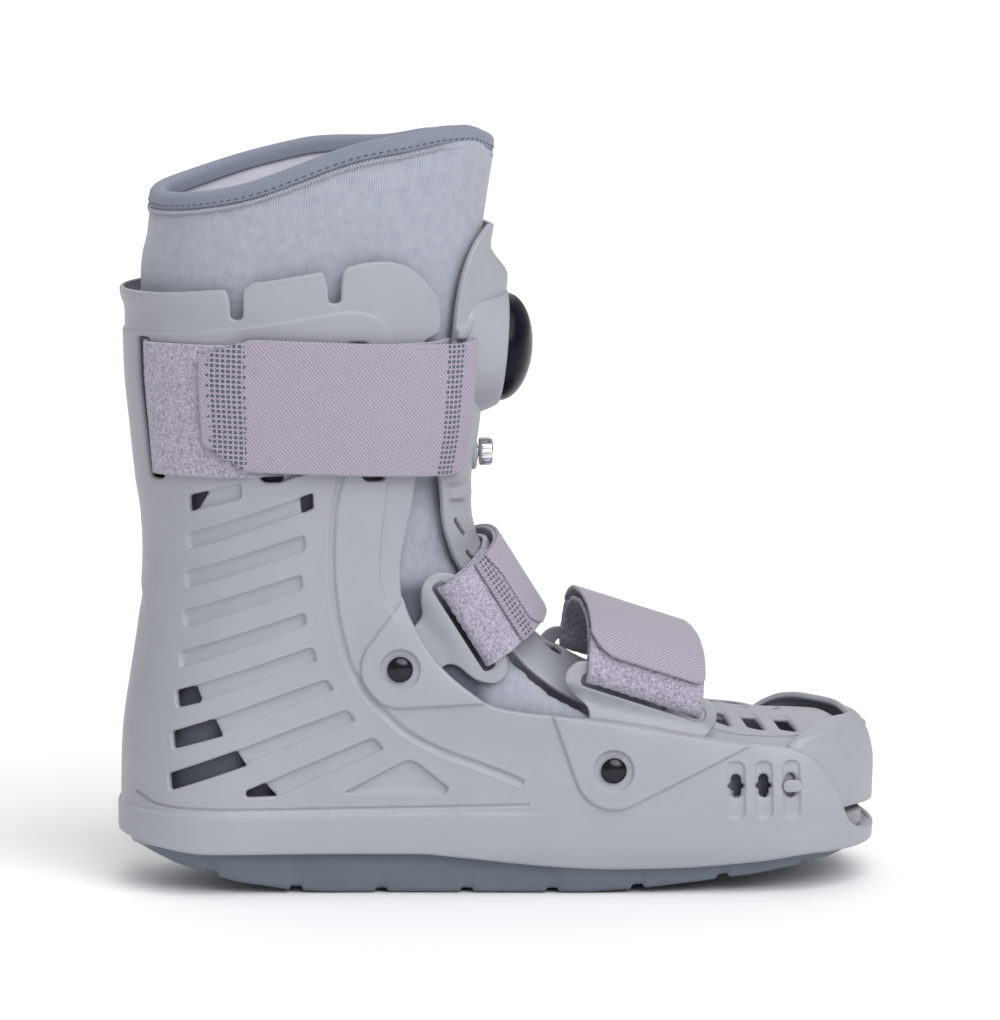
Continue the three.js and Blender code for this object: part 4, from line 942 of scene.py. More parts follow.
class Workshop:
    """Makes objects from meshes and keeps one material of each finish."""

    def __init__(self) -> None:
        """Starts with no materials."""
        self.materials: dict[str, Material] = {}

    def material(self, finish: Finish) -> Material:
        """Returns the finish's material, made once."""
        if finish.name not in self.materials:
            self.materials[finish.name] = finish.build()
        return self.materials[finish.name]

    def piece(self, name: str, mesh: Mesh, finishes: Sequence[Finish], slot: Slot,
              body: str = "boot", replaces: Sequence[str] = ()) -> Object:
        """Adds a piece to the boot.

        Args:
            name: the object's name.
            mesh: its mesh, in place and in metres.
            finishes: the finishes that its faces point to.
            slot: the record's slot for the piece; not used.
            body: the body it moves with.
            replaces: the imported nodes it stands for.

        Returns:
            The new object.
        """
        mesh.name = name
        for finish in finishes:
            mesh.materials.append(self.material(finish))
        obj = bpy.data.objects.new(name, mesh)
        bpy.context.scene.collection.objects.link(obj)
        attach(obj, body)
        if replaces:
            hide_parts(*replaces)
        log.info("%s: %d faces", name, len(mesh.polygons))
        return obj


def finished(shape: bmesh.types.BMesh) -> Mesh:
    """Turns a bmesh into a smooth mesh with outward faces."""
    bmesh.ops.remove_doubles(shape, verts=shape.verts[:], dist=MERGE)
    bmesh.ops.recalc_face_normals(shape, faces=shape.faces[:])
    for face in shape.faces:
        face.smooth = True
    mesh = bpy.data.meshes.new("piece")
    shape.to_mesh(mesh)
    shape.free()
    return mesh


def swept(columns: int, rows: int, place: Place, flat: Optional[Place] = None) -> Mesh:
    """Sweeps a closed section along a path whose ends meet or are drawn to a point.

    Args:
        columns: steps along the path.
        rows: steps round the section.
        place: places for shares of the way along and round, in millimetres.
        flat: flat map for the same shares, in millimetres; a plain one where there is none.

    Returns:
        The mesh, in metres.
    """
    shape = bmesh.new()
    layer = shape.loops.layers.uv.new("flat")
    bmesh.ops.create_grid(shape, x_segments=columns, y_segments=rows, size=0.5)
    shape.verts.ensure_lookup_table()
    share = np.array([(v.co.x + 0.5, v.co.y + 0.5) for v in shape.verts])
    mapped = (flat(share[:, 0], share[:, 1]) if flat else share * 100) * MM
    placed = place(share[:, 0], share[:, 1]) * MM
    for face in shape.faces:
        for loop in face.loops:
            loop[layer].uv = mapped[loop.vert.index]
    for vert, co in zip(shape.verts, placed):
        vert.co = co
    return finished(shape)


def closing(share: Points, columns: int) -> Points:
    """Draws a sweep's first and last rings to a point: 0 at both ends and 1 between them."""
    return np.clip(np.minimum(share, 1 - share) * columns, 0, 1)


def spun(profile: Line, where: Matrix, steps: int = 72) -> Mesh:
    """Spins a profile of radius and height round +X and puts it in place.

    Args:
        profile: pairs of radius and height, in millimetres, from axis to axis.
        where: the place of the axis, in millimetres.
        steps: segments round the axis.

    Returns:
        The closed mesh, in metres.
    """
    shape = bmesh.new()
    verts = [shape.verts.new((h, r, 0)) for r, h in profile]
    edges = [shape.edges.new(pair) for pair in zip(verts[:-1], verts[1:])]
    bmesh.ops.spin(shape, geom=verts + edges, cent=(0, 0, 0), axis=(1, 0, 0), angle=2 * math.pi, steps=steps,
                   use_merge=True)
    bmesh.ops.transform(shape, matrix=Matrix.Scale(MM, 4) @ where, verts=shape.verts[:])
    return finished(shape)


def joined(meshes: Iterable[Mesh]) -> Mesh:
    """Puts several meshes into one."""
    shape = bmesh.new()
    for mesh in meshes:
        shape.from_mesh(mesh)
    result = bpy.data.meshes.new("piece")
    shape.to_mesh(result)
    shape.free()
    return result


def arc_points(x: float, z: float, radius: float, angles: Iterable[float]) -> Points:
    """Points of a circle at angles in radians."""
    return np.array([(x + radius * math.cos(a), z + radius * math.sin(a)) for a in angles])


def circle(x: float, z: float, radius: float, steps: int) -> Points:
    """A whole circle's points."""
    return arc_points(x, z, radius, [2 * math.pi * k / steps for k in range(steps)])


def boss_outline(x: float, z: float, tips: Line, radius: float = 16.0) -> Points:
    """Draws the outline of a boss round a rivet.

    Args:
        x: the rivet's x.
        z: its height.
        tips: the two points that the round boss is drawn out to.
        radius: radius of the round part.

    Returns:
        The outline, from one tip round to the other.
    """
    angles = []
    for tip, turn in zip(tips, (1, -1)):
        dx, dz = tip[0] - x, tip[1] - z
        angles.append(math.atan2(dz, dx) + turn * math.acos(radius / math.hypot(dx, dz)))
    sweep = (angles[1] - angles[0]) % (2 * math.pi)
    arc = arc_points(x, z, radius, [angles[0] + sweep * k / 24 for k in range(25)])
    return np.array([tips[0], *arc, tips[1]])


def band_outline(line: Line, width: float) -> Points:
    """Outline of a band of one width beside an open line."""
    curve = flowing(line, 2.0)
    along = np.gradient(curve, axis=0)
    along /= np.linalg.norm(along, axis=1)[:, None]
    side = curve + np.column_stack([-along[:, 1], along[:, 0]]) * width
    return np.vstack([curve, side[::-1]])


@dataclass
class Shell:
    """The moulded shell, from the heel's lip to the toe's tray.

    Attributes:
        louvre_depth: depth of the louvre pockets.
        flap_drop: how much lower the flexible margin lies than the stiff panel.
        past_toe: an x ahead of the whole form, whose distance round is that of the toe's middle.
        toe_levels: points that close the flat outline at the toe.
        seam: a flat point this near to the toe's middle lies in the middle plane.
    """

    louvre_depth: float = 1.5
    flap_drop: float = 0.9
    past_toe: float = 400.0
    toe_levels: int = 12
    seam: float = 0.06

    def to_flat(self, outline: Points) -> Points:
        """Lays a side-view outline flat: distance round from the heel, and height."""
        return np.column_stack([FORM.arc_of_x(outline[:, 0], outline[:, 1]), outline[:, 1]])

    def place(self, flat: Points, height: Points) -> Points:
        """Puts flat points on the right side of the shell."""
        share = FORM.share_of_arc(flat[:, 0], flat[:, 1])
        x, _ = FORM.point(share, flat[:, 1], np.zeros(len(flat)))
        x, w = FORM.point(share, flat[:, 1], height + FORM.stand_out(x, flat[:, 1]))
        return np.column_stack([x, -w, flat[:, 1]])

    def profile(self) -> Points:
        """The side view of the whole edge."""
        notches = []
        for x, bottom, left, right, top in NOTCHES:
            mouth_left = [(left - 2, top - 0.5), (left + 0.8, top - 0.8)]
            slot = [(x - 2.5, bottom + 6), (x - 2.5, bottom), (x + 2.5, bottom), (x + 2.5, bottom + 6)]
            mouth_right = [(right, top - 0.2), (right + 2.6, top + 1.6)]
            notches.append(rounded(mouth_left + slot + mouth_right, 2.4, closed=False))
        top = flowing(EDGE_TOP, 1.5)
        front = flowing(EDGE_FRONT, 1.5)
        skirt = flowing(SKIRT, 2.0)
        return np.vstack([EDGE_BACK, notches[0], EDGE_MIDDLE, notches[1], top, front, skirt])

    def boundary(self) -> Points:
        """The half shell's flat outline, closed along the middle plane."""
        line = resample(self.profile(), 0.8)
        rows = FORM.rows(line[:, 1])
        within = (line[:, 0] > rows[:, 0]) & (line[:, 0] < rows[:, 1])
        flat = self.to_flat(line[within])
        gap = int(np.argmax(np.linalg.norm(np.diff(flat, axis=0), axis=1)))
        levels = np.linspace(flat[gap, 1], flat[gap + 1, 1], self.toe_levels)
        toe = np.column_stack([FORM.arc_of_x(self.past_toe, levels), levels])
        return np.vstack([[(0, flat[0, 1])], flat[: gap + 1], toe, flat[gap + 1:], [(0, flat[-1, 1])]])

    def midline(self, flat: Points) -> Points:
        """Whether flat points lie in the boot's middle plane."""
        whole = FORM.arc_of_x(self.past_toe, flat[:, 1])
        return (flat[:, 0] < ON_MIDDLE) | (flat[:, 0] > whole - self.seam)

    def reliefs(self) -> list[Relief]:
        """Draws everything that is raised or sunk in the shell.

        Returns:
            Louvre pockets, flexible margin, groove, heel's crease, rivet bosses and keyhole recesses.
        """
        found = []
        for corners in LOUVRES:
            pocket = self.to_flat(resample(rounded(corners, 2.0), 0.8, True))
            found.append(Relief(pocket, -self.louvre_depth, 0.7, lip=0.22))
        panel = self.to_flat(resample(rounded(PANEL, 9.0), 1.2, True))
        found.append(Relief(panel, -self.flap_drop, 1.0, inverted=True, above=104))
        found.append(Relief(self.to_flat(band_outline(RIB, 3.4)), -1.0, 1.1, lip=0.15))
        found.append(Relief(self.to_flat(band_outline(BASE_CREASE, 1.5)), -0.7, 0.45))
        for x, z, tips in RIVETS.values():
            boss = resample(rounded(boss_outline(x, z, tips), 1.5), 1.0, True)
            found.append(Relief(self.to_flat(boss), BOSS, 1.1))
            found.append(Relief(self.to_flat(circle(x, z, 8.1, 48)), -1.2, 0.6))
        for x in KEYHOLES:
            pocket = rounded([(x - 3.6, 30.8), (x - 3.6, 53.2), (x + 3.6, 53.2), (x + 3.6, 30.8)], 3.5)
            found.append(Relief(self.to_flat(resample(pocket, 0.8, True)), -0.9, 0.5, lip=0.15))
        return found

    def holes(self) -> list[Points]:
        """Vents, strap slots and keyholes."""
        found = [self.to_flat(rounded(p, 1.2)) for p in VENTS]
        for x, width in STRAP_SLOTS:
            middle = FORM.arc_of_x(np.array([x]), np.array([193.25]))[0]
            low, high = CALF_LOW - 2, CALF_HIGH + (1.4 if x < -60 else 0.5)
            found.append(rounded([(middle - width / 2, low), (middle - width / 2, high),
                                  (middle + width / 2, high), (middle + width / 2, low)], 3.0))
        quarter = [(3.3, 0), (3, 0.6), (2.3, 1), (2, 1.6), (2, 2.7), (1.75, 3.6), (1.1, 4.3), (0.35, 4.55)]
        half = quarter + [(-x, z) for x, z in reversed(quarter)]
        keyhole = np.array(half + [(-x, -z) for x, z in half[1:-1]])
        found += [self.to_flat(keyhole + (x, KEYHOLE_Z)) for x in KEYHOLES]
        return found

    def build(self, shop: Workshop) -> None:
        """Makes the shell."""
        along = np.arange(-149, 30, 1.6)
        band = (32.2, 32.7, 33.1, 33.5, 34)
        guides = [self.to_flat(np.column_stack([along, np.full(len(along), z)])) for z in band]
        along = np.arange(0, 60, 2.0)
        guides += [np.column_stack([along, np.full(len(along), z)]) for z in (229, 231, 233, 235)]
        sheet = Sheet(self.boundary(), self.holes(), self.reliefs(), guides, rounding=0.8, spacing=3.5,
                      edge=1.38, midline=self.midline)
        shop.piece("moulded_shell", sheet.build(self.place), [PLASTIC], Slot.SHELL, replaces=["shell"])


def on_crown(flat: Points) -> Points:
    """Whether flat points that are measured from the middle plane lie in it."""
    return flat[:, 0] < ON_MIDDLE


@dataclass
class ToeGuard:
    """The guard round the toe, with its pegs in the shell's keyholes."""

    start: float = 2.04
    room: float = 0.95

    def path(self, share: Points, inset: Points, z: Points) -> tuple[Points, Points]:
        """Plan position at a share of the way from the arm's end to the toe."""
        offset = -WALL - self.room + (WALL + self.room - 0.2) * smoothstep(0.55, 0.85, share) - inset
        return FORM.point(self.start + (3 - self.start) * share, np.minimum(z, 58), offset)

    def place(self, flat: Points, height: Points) -> Points:
        """Puts flat points on the guard.

        Args:
            flat: distance back from the toe, and share of the way up the face, out of 40.
            height: how far out of the face.

        Returns:
            Places on the right side, in millimetres.
        """
        share = 1 - flat[:, 0] / self.length
        low, crease, top, lean = Rows(GUARD_ROWS)(share).T
        taper = 1.6 * smoothstep(0.5, 1, share)
        up = np.array([0, 15, 28.9, 29.9, 40]) / 40
        tuck = 0.8 * smoothstep(0.3, 1, share)
        insets = np.column_stack([tuck, 0 * share, 0.55 * taper, taper + 0.25 * lean, lean])
        heights = np.column_stack([low, low + (crease - low) * 0.54, crease - 0.7, crease + 0.3, top])
        t = np.clip(flat[:, 1] / 40, 0, 1)
        k = np.clip(np.searchsorted(up, t, side="right") - 1, 0, 3)
        rows = np.arange(len(t))
        part = (t - up[k]) / (up[k + 1] - up[k])
        inset = insets[rows, k] + (insets[rows, k + 1] - insets[rows, k]) * part
        z = heights[rows, k] + (heights[rows, k + 1] - heights[rows, k]) * part
        tilt = smoothstep(0.715, 0.755, t) * np.arctan2(lean, np.maximum(1, top - crease)) * 0.9
        x, w = self.path(share, inset - height * np.cos(tilt), z)
        return np.column_stack([x, -w, z + height * np.sin(tilt)])

    @property
    def length(self) -> float:
        """Length of one side, from the toe to the arm's end."""
        share = np.linspace(0, 1, 60)
        x, w = self.path(share, np.zeros(60), np.full(60, 45.0))
        return float(np.hypot(np.diff(x), np.diff(w)).sum())

    def build(self, shop: Workshop) -> None:
        """Makes the guard, as half a band, and its two pegs."""
        length = self.length
        edge = rounded([(0, 0.2), (length - 0.5, 0.2), (length - 0.5, 39.8), (0, 39.8)], 5.0, closed=False)
        along = np.arange(0, length, 1.6)
        guides = [np.column_stack([along, np.full(len(along), v)]) for v in (27, 28.9, 29.4, 29.9, 31.5, 36)]
        sheet = Sheet(edge, guides=guides, rounding=0.9, inner_rounding=0.6, spacing=2.6, midline=on_crown)
        shop.piece("toe_guard_band", sheet.build(self.place), [PLASTIC], Slot.SHELL, replaces=["toe_guard"])
        shop.piece("toe_guard_pegs", joined([self.peg(side) for side in (-1, 1)]), [PLASTIC], Slot.SHELL)

    @staticmethod
    def peg(side: int) -> Mesh:
        """Makes a flat rounded button and the stem behind it.

        Args:
            side: -1 on the right and 1 on the left.

        Returns:
            The peg's mesh, in its keyhole.
        """
        x = KEYHOLES[2]
        face = float(FORM.half_width(x, KEYHOLE_Z))
        shape = bmesh.new()
        bmesh.ops.create_cube(shape, size=1)
        bmesh.ops.scale(shape, vec=(7.4, 1.7, 4.8), verts=shape.verts[:])
        upright = [e for e in shape.edges if abs((e.verts[0].co - e.verts[1].co).normalized().y) > 0.9]
        for edges, offset, segments in ((upright, 2.1, 6), (None, 0.35, 2)):
            bmesh.ops.bevel(shape, geom=edges or shape.edges[:], offset=offset, segments=segments,
                            affect="EDGES", profile=0.5, material=-1)
        stem = bmesh.ops.create_cube(shape, size=1)["verts"]
        bmesh.ops.scale(shape, vec=(2.6, 6, 3.6), verts=stem)
        bmesh.ops.translate(shape, vec=(0, -side * 3, 0), verts=stem)
        bmesh.ops.translate(shape, vec=(x, side * (face + 1.2), KEYHOLE_Z), verts=shape.verts[:])
        bmesh.ops.scale(shape, vec=(MM, MM, MM), verts=shape.verts[:])
        return finished(shape)


@dataclass
class FrontPlate:
    """The plate down the shin and over the foot, with the bulb's housing and hood.

    Attributes:
        hood_height: how far the hood stands out from the plate.
        hood_levels: z at which the hood starts, is full, begins to sink, and ends.
        bulb: radius of the rubber dome.
        bulb_rise: height of the dome over its straight side.
    """

    hood_height: float = 7.6
    hood_levels: tuple[float, ...] = (254, 242, 237, 226.5)
    bulb: float = 21.6
    bulb_rise: float = 12.0

    def __post_init__(self) -> None:
        """Measures the way down the crown."""
        self.rows = Rows([(i, *row) for i, row in enumerate(PLATE_ROWS)])
        self.steps = np.linspace(0, len(PLATE_ROWS) - 1, 600)
        crown = self.rows(self.steps)
        self.down = np.concatenate([[0], np.cumsum(np.hypot(np.diff(crown[:, 0]), np.diff(crown[:, 1])))])
        self.crown = crown

    def station(self, down: Points) -> Points:
        """The plate's row at a distance down its crown."""
        return self.rows(np.interp(down, self.down, self.steps))

    def place(self, flat: Points, height: Points) -> Points:
        """Puts flat points on the plate: distance across from the crown, and distance down it."""
        row = self.station(flat[:, 1])
        before, after = self.station(flat[:, 1] - 2), self.station(flat[:, 1] + 2)
        along = after[:, :2] - before[:, :2]
        along /= np.linalg.norm(along, axis=1)[:, None]
        angle = flat[:, 0] / row[:, 2]
        height = height + self.hood(flat)
        across = (row[:, 2] + height) * np.sin(angle)
        drop = (row[:, 3] + height) * (1 - np.cos(angle)) - height
        return np.column_stack([row[:, 0] + along[:, 1] * drop, -across, row[:, 1] - along[:, 0] * drop])

    def hood(self, flat: Points) -> Points:
        """How far the hood over the bulb stands out at flat points."""
        top, full, turn, low = (self.down_of_z(z) for z in self.hood_levels)
        across = 1 - smoothstep(8, 30, np.abs(flat[:, 0]))
        down = smoothstep(top, full, flat[:, 1]) * (1 - smoothstep(turn, low, flat[:, 1]))
        return self.hood_height * across * down

    def down_of_x(self, x: float) -> float:
        """Distance down the crown at which the foot part reaches x."""
        foot = self.steps > 10
        return float(np.interp(x, self.crown[foot, 0], self.down[foot]))

    def down_of_z(self, z: float) -> float:
        """Distance down the crown at which the shin part reaches z."""
        shin = self.steps < 13
        return float(np.interp(-z, -self.crown[shin, 1], self.down[shin]))

    def build_sheet(self, shop: Workshop) -> None:
        """Makes the plate with its slots, window and hood."""
        down = np.linspace(0, self.down[-1], 260)
        row = self.station(down)
        reach = row[:, 2] * np.radians(row[:, 4])
        side = np.column_stack([reach, down])[::3]
        edge = rounded(np.vstack([[(0, 0)], side, [(0, self.down[-1])]]), 6.0, 6, closed=False)
        holes = []
        foot = down[(down > self.down_of_x(30)) & (down < self.down_of_x(130))]
        side = np.interp(foot, down, reach)
        reliefs = [Relief(band_outline(np.column_stack([side * 0.74, foot])[::6], 2.0), -0.8, 0.9, lip=0.2)]
        reliefs += [Relief(resample(rounded(p, 1.5), 0.8, True), 2.0, 1.6) for p in self.guides()]
        for x in (61, 74, 87, 100, 113):
            v = self.down_of_x(x)
            wide = self.station(np.array([v]))[0, 2]
            a, b = wide * math.asin(11 / wide), wide * math.asin(31 / wide)
            holes.append(rounded([(a, v - 3.1), (b - 2, v - 1.5), (b, v + 4.6), (a, v + 3.1)], 2.9))
            dished = rounded([(a - 5, v - 4.4), (b - 1, v - 3), (b + 2.2, v + 6), (a - 5, v + 4.4)], 3.5)
            reliefs.append(Relief(resample(dished, 1.0, True), -0.8, 1.3))
        v0, v1 = self.down_of_z(CALF_HIGH + 1.5), self.down_of_z(CALF_LOW - 1.5)
        holes.append(rounded([(25.5, v0), (34.2, v0), (34.2, v1), (25.5, v1)], 3.0))
        v0, v1 = self.down_of_z(111), self.down_of_z(111) + 27
        window = rounded([(-1, v0), (15, v0), (18, v1), (-1, v1)], 8.0)
        for (a0, va), (a1, vb) in (((28.2, 114.5), (22.6, 121.5)), ((25.5, 126), (22, 132))):
            holes.append(rounded([(a0 - 1.2, va), (a0 + 1.2, va), (a1 + 1.2, vb), (a1 - 1.2, vb)], 1.1))
        sheet = Sheet(self.with_window(edge, window), holes, reliefs, rounding=0.8, inner_rounding=0.5,
                      spacing=2.8, midline=on_crown)
        mesh = sheet.build(self.place)
        shop.piece("front_plate_sheet", mesh, [PLASTIC], Slot.SHELL, replaces=["front_plate"])

    def build(self, shop: Workshop) -> None:
        """Makes the plate, the bulb's housing with the valve's collar, and the bulb."""
        self.build_sheet(shop)
        where = Matrix.Translation((-4.4, 0, 213.4)) @ Matrix.Rotation(0.09, 4, "Y")
        ring = [(0, -12), (33.5, -13), (31.2, -8.6), (28.8, -4.2), (26.6, 0.2), (24.8, 3.8), (23.6, 5.8),
                (22.9, 6.5), (22.3, 6.3), (22.0, 5.4), (21.9, 0.5), (0, 0.5)]
        collar = [(0, -1.5), (7.4, -1.5), (7.2, 0), (6.9, 0.8), (6.3, 1.1), (0, 1.1)]
        housing = joined([spun(ring, where, 96), spun(collar, Matrix.Translation((-9.4, 0, 170.8)))])
        shop.piece("bulb_housing", housing, [PLASTIC], Slot.SHELL)
        dome = [(0, 0.8), (21.4, 0.8), (self.bulb, 6.4)]
        dome += [(self.bulb * math.cos(a), 6.6 + self.bulb_rise * math.sin(a))
                 for a in np.linspace(0.03, math.pi / 2 - 0.02, 22)]
        dome.append((0, 6.6 + self.bulb_rise))
        shop.piece("rubber_bulb", spun(dome, where, 96), [BULB_RUBBER], Slot.BULB, replaces=["air_bulb"])

    @staticmethod
    def guides() -> list[list[tuple[float, float]]]:
        """Raised lips above and below the calf strap that keep it in its channel."""
        upper = [(41.2, 39.5), (37.6, 38.4), (30.6, 35), (20.8, 38), (19.6, 44.6), (36.8, 44.8), (41.2, 43.6)]
        lower = [(35.6, 101.6), (28.6, 101.2), (17, 99.8), (15, 107.4), (22.5, 109.2), (33.6, 107.9)]
        return [upper, lower]

    def with_window(self, edge: Points, window: Points) -> Points:
        """Opens the middle plane's side of the half outline round the ankle window."""
        half = window[window[:, 0] >= 0]
        low, high = half[:, 1].min(), half[:, 1].max()
        order = np.argsort(np.arctan2(half[:, 1] - (low + high) / 2, half[:, 0]))[::-1]
        return np.vstack([edge, [(0, high)], half[order], [(0, low)]])


@dataclass
class ReleaseValve:
    """The knurled chrome knob that lets the air out, and its post.

    Attributes:
        z: height of the axis.
        seat: x from which heights on the knob and the post are measured.
        grooves: number of grooves round the grip.
        groove_depth: their depth.
        grip: only radii over this are grooved.
    """

    z: float = 170.8
    seat: float = -8.3
    grooves: int = 24
    groove_depth: float = 0.22
    grip: float = 5.45

    def build(self, shop: Workshop) -> None:
        """Makes the knob and the post."""
        where = Matrix.Translation((self.seat, 0, self.z))
        profile = [(0, 1.1), (5, 1.1), (5.5, 1.6), (5.6, 2.4), (5.6, 3), (5.6, 5.4), (5.4, 6), (4.9, 6.5),
                   (3.2, 6.5), (2.9, 6.2), (0, 6.2)]
        knob = spun(profile, Matrix.Identity(4), 96)
        for vert in knob.vertices:
            radius = math.hypot(vert.co.y, vert.co.z)
            if radius > self.grip * MM:
                turn = math.atan2(vert.co.z, vert.co.y)
                share = 1 - self.groove_depth * MM * (0.5 + 0.5 * math.cos(self.grooves * turn)) / radius
                vert.co.y *= share
                vert.co.z *= share
        knob.transform(Matrix.Translation(where.translation * MM))
        shop.piece("valve_knob_turned", knob, [CHROME], Slot.VALVE, body="knob", replaces=["valve_knob"])
        post = [(0, 0.1), (3.2, 0.1), (3.2, 0.7), (2.0, 0.7), (2.0, 2.5), (0, 2.5)]
        shop.piece("valve_post", spun(post, where, 48), [CHROME], Slot.VALVE, replaces=["valve_stem"])


@dataclass
class StrapSet:
    """Two strap arms with their rivets, the strap looped through them and its woven cover.

    Attributes:
        name: first word of the pieces' names.
        rivet: x and z of the rivet.
        outline: side view of the arm.
        slot: lower and upper side of the arm's slot, measured across it from the centre.
        centre: x and z of the slot's middle.
        out: direction in which the strap leaves the boot, in degrees.
        along: direction of the slot, in degrees.
        width: width of the strap.
        bend: span across the slot in which the arm leaves the shell's form.
        plane: half distance between the arms' upright faces.
        strap: half the strap's path, from its end under the slot to the middle, by y and height.
        cover: half the cover's path.
        cover_cut: corners of the cover's end: distance along the path, side, and distance in from it.
        tab: whether the cover has a second layer, with welded dots beside it.
    """

    name: str
    rivet: tuple[float, float]
    outline: Line
    slot: tuple[float, float]
    centre: tuple[float, float]
    out: float
    along: float
    width: float
    bend: tuple[float, float]
    plane: float
    strap: Line
    cover: Line
    cover_cut: Sequence[tuple[float, float, float]] = ((0, 1, 0), (0, -1, 0))
    tab: bool = False

    def axes(self) -> tuple[Points, Points]:
        """Side-view directions across the slot and along it."""
        a = math.radians(self.along)
        return np.array([-math.sin(a), math.cos(a)]), np.array([math.cos(a), math.sin(a)])

    def arm_face(self, x: Points, z: Points) -> Points:
        """How far out the arm's outer side lies."""
        across, _ = self.axes()
        reach = (x - self.centre[0]) * across[0] + (z - self.centre[1]) * across[1]
        wall = FORM.half_width(x, z, -WALL - GAP - 0.1)
        return wall + (self.plane - wall) * smoothstep(*self.bend, reach)

    def build_arms(self, shop: Workshop) -> None:
        """Makes both arms and both rivets."""
        across, along = self.axes()
        end = self.width / 2 + 1.8
        centre = np.array(self.centre)
        low, high = self.slot
        reaches = ((low, -end), (high, -end), (high, end), (low, end))
        corners = [centre + o * across + t * along for o, t in reaches]
        edge = resample(rounded(self.outline, 5.5, 6), 0.9, True)
        for side, hand in ((-1, "right"), (1, "left")):
            def place(flat: Points, height: Points, side: int = side) -> Points:
                """Stands flat points up as the arm's side view."""
                face = self.arm_face(flat[:, 0], flat[:, 1])
                return np.column_stack([flat[:, 0], side * (face + height), flat[:, 1]])

            sheet = Sheet(edge, [rounded(corners, 2.2)], thickness=ARM, rounding=0.7, inner_rounding=0.6,
                          spacing=2.6)
            shop.piece(f"{self.name}_loop_{hand}", sheet.build(place), [PLASTIC], Slot.SHELL,
                       replaces=[f"{self.name}_arm_{hand}"])
            x, z = self.rivet
            turn = Matrix.Translation((x, 0, z)) @ Matrix.Rotation(side * math.pi / 2, 4, "Z")
            shop.piece(f"{self.name}_rivet_dome_{hand}", spun(self.rivet_profile(), turn, 56), [DARK_CHROME],
                       Slot.RIVET, replaces=[f"{self.name}_rivet_{hand}"])

    def rivet_profile(self) -> list[tuple[float, float]]:
        """Radius and distance out of the rivet: its tail behind the arm, its shank and its domed head."""
        x, z = self.rivet
        seat = float(FORM.half_width(x, z)) + BOSS - 1.0 + 0.3
        tail = float(self.arm_face(x, z)) - ARM + 0.2
        profile = [(0, tail - 0.5), (3.6, tail - 0.5), (3.6, tail), (2.2, tail), (2.2, seat), (4.9, seat),
                   (5.1, seat + 0.3)]
        profile += [(5.1 * math.cos(a), seat + 0.3 + 2.4 * math.sin(a))
                    for a in np.linspace(0.15, math.pi / 2 - 0.05, 12)]
        return [*profile, (0, seat + 2.7)]

    def band(self, half: Line) -> tuple[Points, Place]:
        """Lays out half a strap.

        Args:
            half: its path, by y and height, from its end to the middle.

        Returns:
            The distances along the path, and the function that lays flat points over the foot.
        """
        path = flowing(half, 0.8)
        length = lengths(path)
        tangent = np.gradient(path, axis=0)
        tangent[-1] = (1, 0)
        tangent /= np.linalg.norm(tangent, axis=1)[:, None]
        out = np.array([math.cos(math.radians(self.out)), math.sin(math.radians(self.out))])
        _, along = self.axes()

        def place(flat: Points, height: Points) -> Points:
            """Lays flat points along the strap: distance from its end, and distance across it."""
            at = [np.interp(flat[:, 0], length, column) for column in (*path.T, *tangent.T)]
            y = at[0] - at[3] * height
            reach = at[1] + at[2] * height
            x = self.centre[0] + out[0] * reach + along[0] * flat[:, 1]
            z = self.centre[1] + out[1] * reach + along[1] * flat[:, 1]
            return np.column_stack([x, y, z])

        return length, place

    def layer(self, half: Line, cut: Line, corner: float,
              lift: float = 0.0, **settings: float) -> Mesh:
        """Makes one band that is mirrored in the middle plane.

        Args:
            half: half of its path.
            cut: flat corners of its free end.
            corner: how far those corners are rounded.
            lift: how far it lies over the path.
            settings: the sheet's own sizes.

        Returns:
            The mesh.
        """
        length, place = self.band(half)
        total, w = float(length[-1]), self.width / 2
        edge = rounded([(total, w), *cut, (total, -w)], corner, closed=False)
        sheet = Sheet(edge, midline=lambda p: p[:, 0] > total - ON_MIDDLE, **settings)
        return sheet.build(lambda p, h: place(p, h + WEB / 2 + lift))

    def build(self, shop: Workshop) -> None:
        """Makes the arms, the looped strap, its cover and the cover's second layer."""
        self.build_arms(shop)
        w = self.width / 2
        sizes = {"thickness": WEB, "rounding": 0.7, "inner_rounding": 0.7, "spacing": 2.2}
        loop = self.layer(self.strap, [(0, w), (0, -w)], 2.0, **sizes)
        obj = shop.piece(f"{self.name}_loop_strap", loop, [PILE], Slot.PILE, replaces=[f"{self.name}_strap"])
        mark_dots(obj.data, ())
        roughen(obj.data, 0.35, 1.6)
        cut = [(along, side * (w - inset)) for along, side, inset in self.cover_cut]
        cover = self.layer(self.cover, cut, 2.0 if self.tab else 1.6, **sizes)
        obj = shop.piece(f"{self.name}_woven_cover", cover, [WEBBING], Slot.STRAP,
                         replaces=[f"{self.name}_cover"])
        mark_dots(obj.data, ((0.8, 8.2),) if self.tab else ())
        roughen(obj.data, 0.1, 9.0)
        if self.tab:
            cut = [(15, w), (9.4, w - 5), (9.4, 10 - w), (6, -w)]
            sizes = {"thickness": 1.3, "rounding": 0.5, "inner_rounding": 0.5, "spacing": 2.4}
            upper = self.layer(self.cover, cut, 2.0, 1.2, **sizes)
            obj = shop.piece(f"{self.name}_cover_tab", upper, [WEBBING], Slot.STRAP)
            mark_dots(obj.data, ())


def roughen(mesh: Mesh, amount: float, size: float) -> None:
    """Moves each point a little along its normal, by smooth noise.

    Args:
        mesh: the mesh, in metres.
        amount: the most that a point moves, in millimetres.
        size: the size of the lumps, in millimetres.
    """
    normals = [v.normal.copy() for v in mesh.vertices]
    for vert, normal in zip(mesh.vertices, normals):
        vert.co += normal * noise.noise(vert.co / (size * MM)) * amount * MM


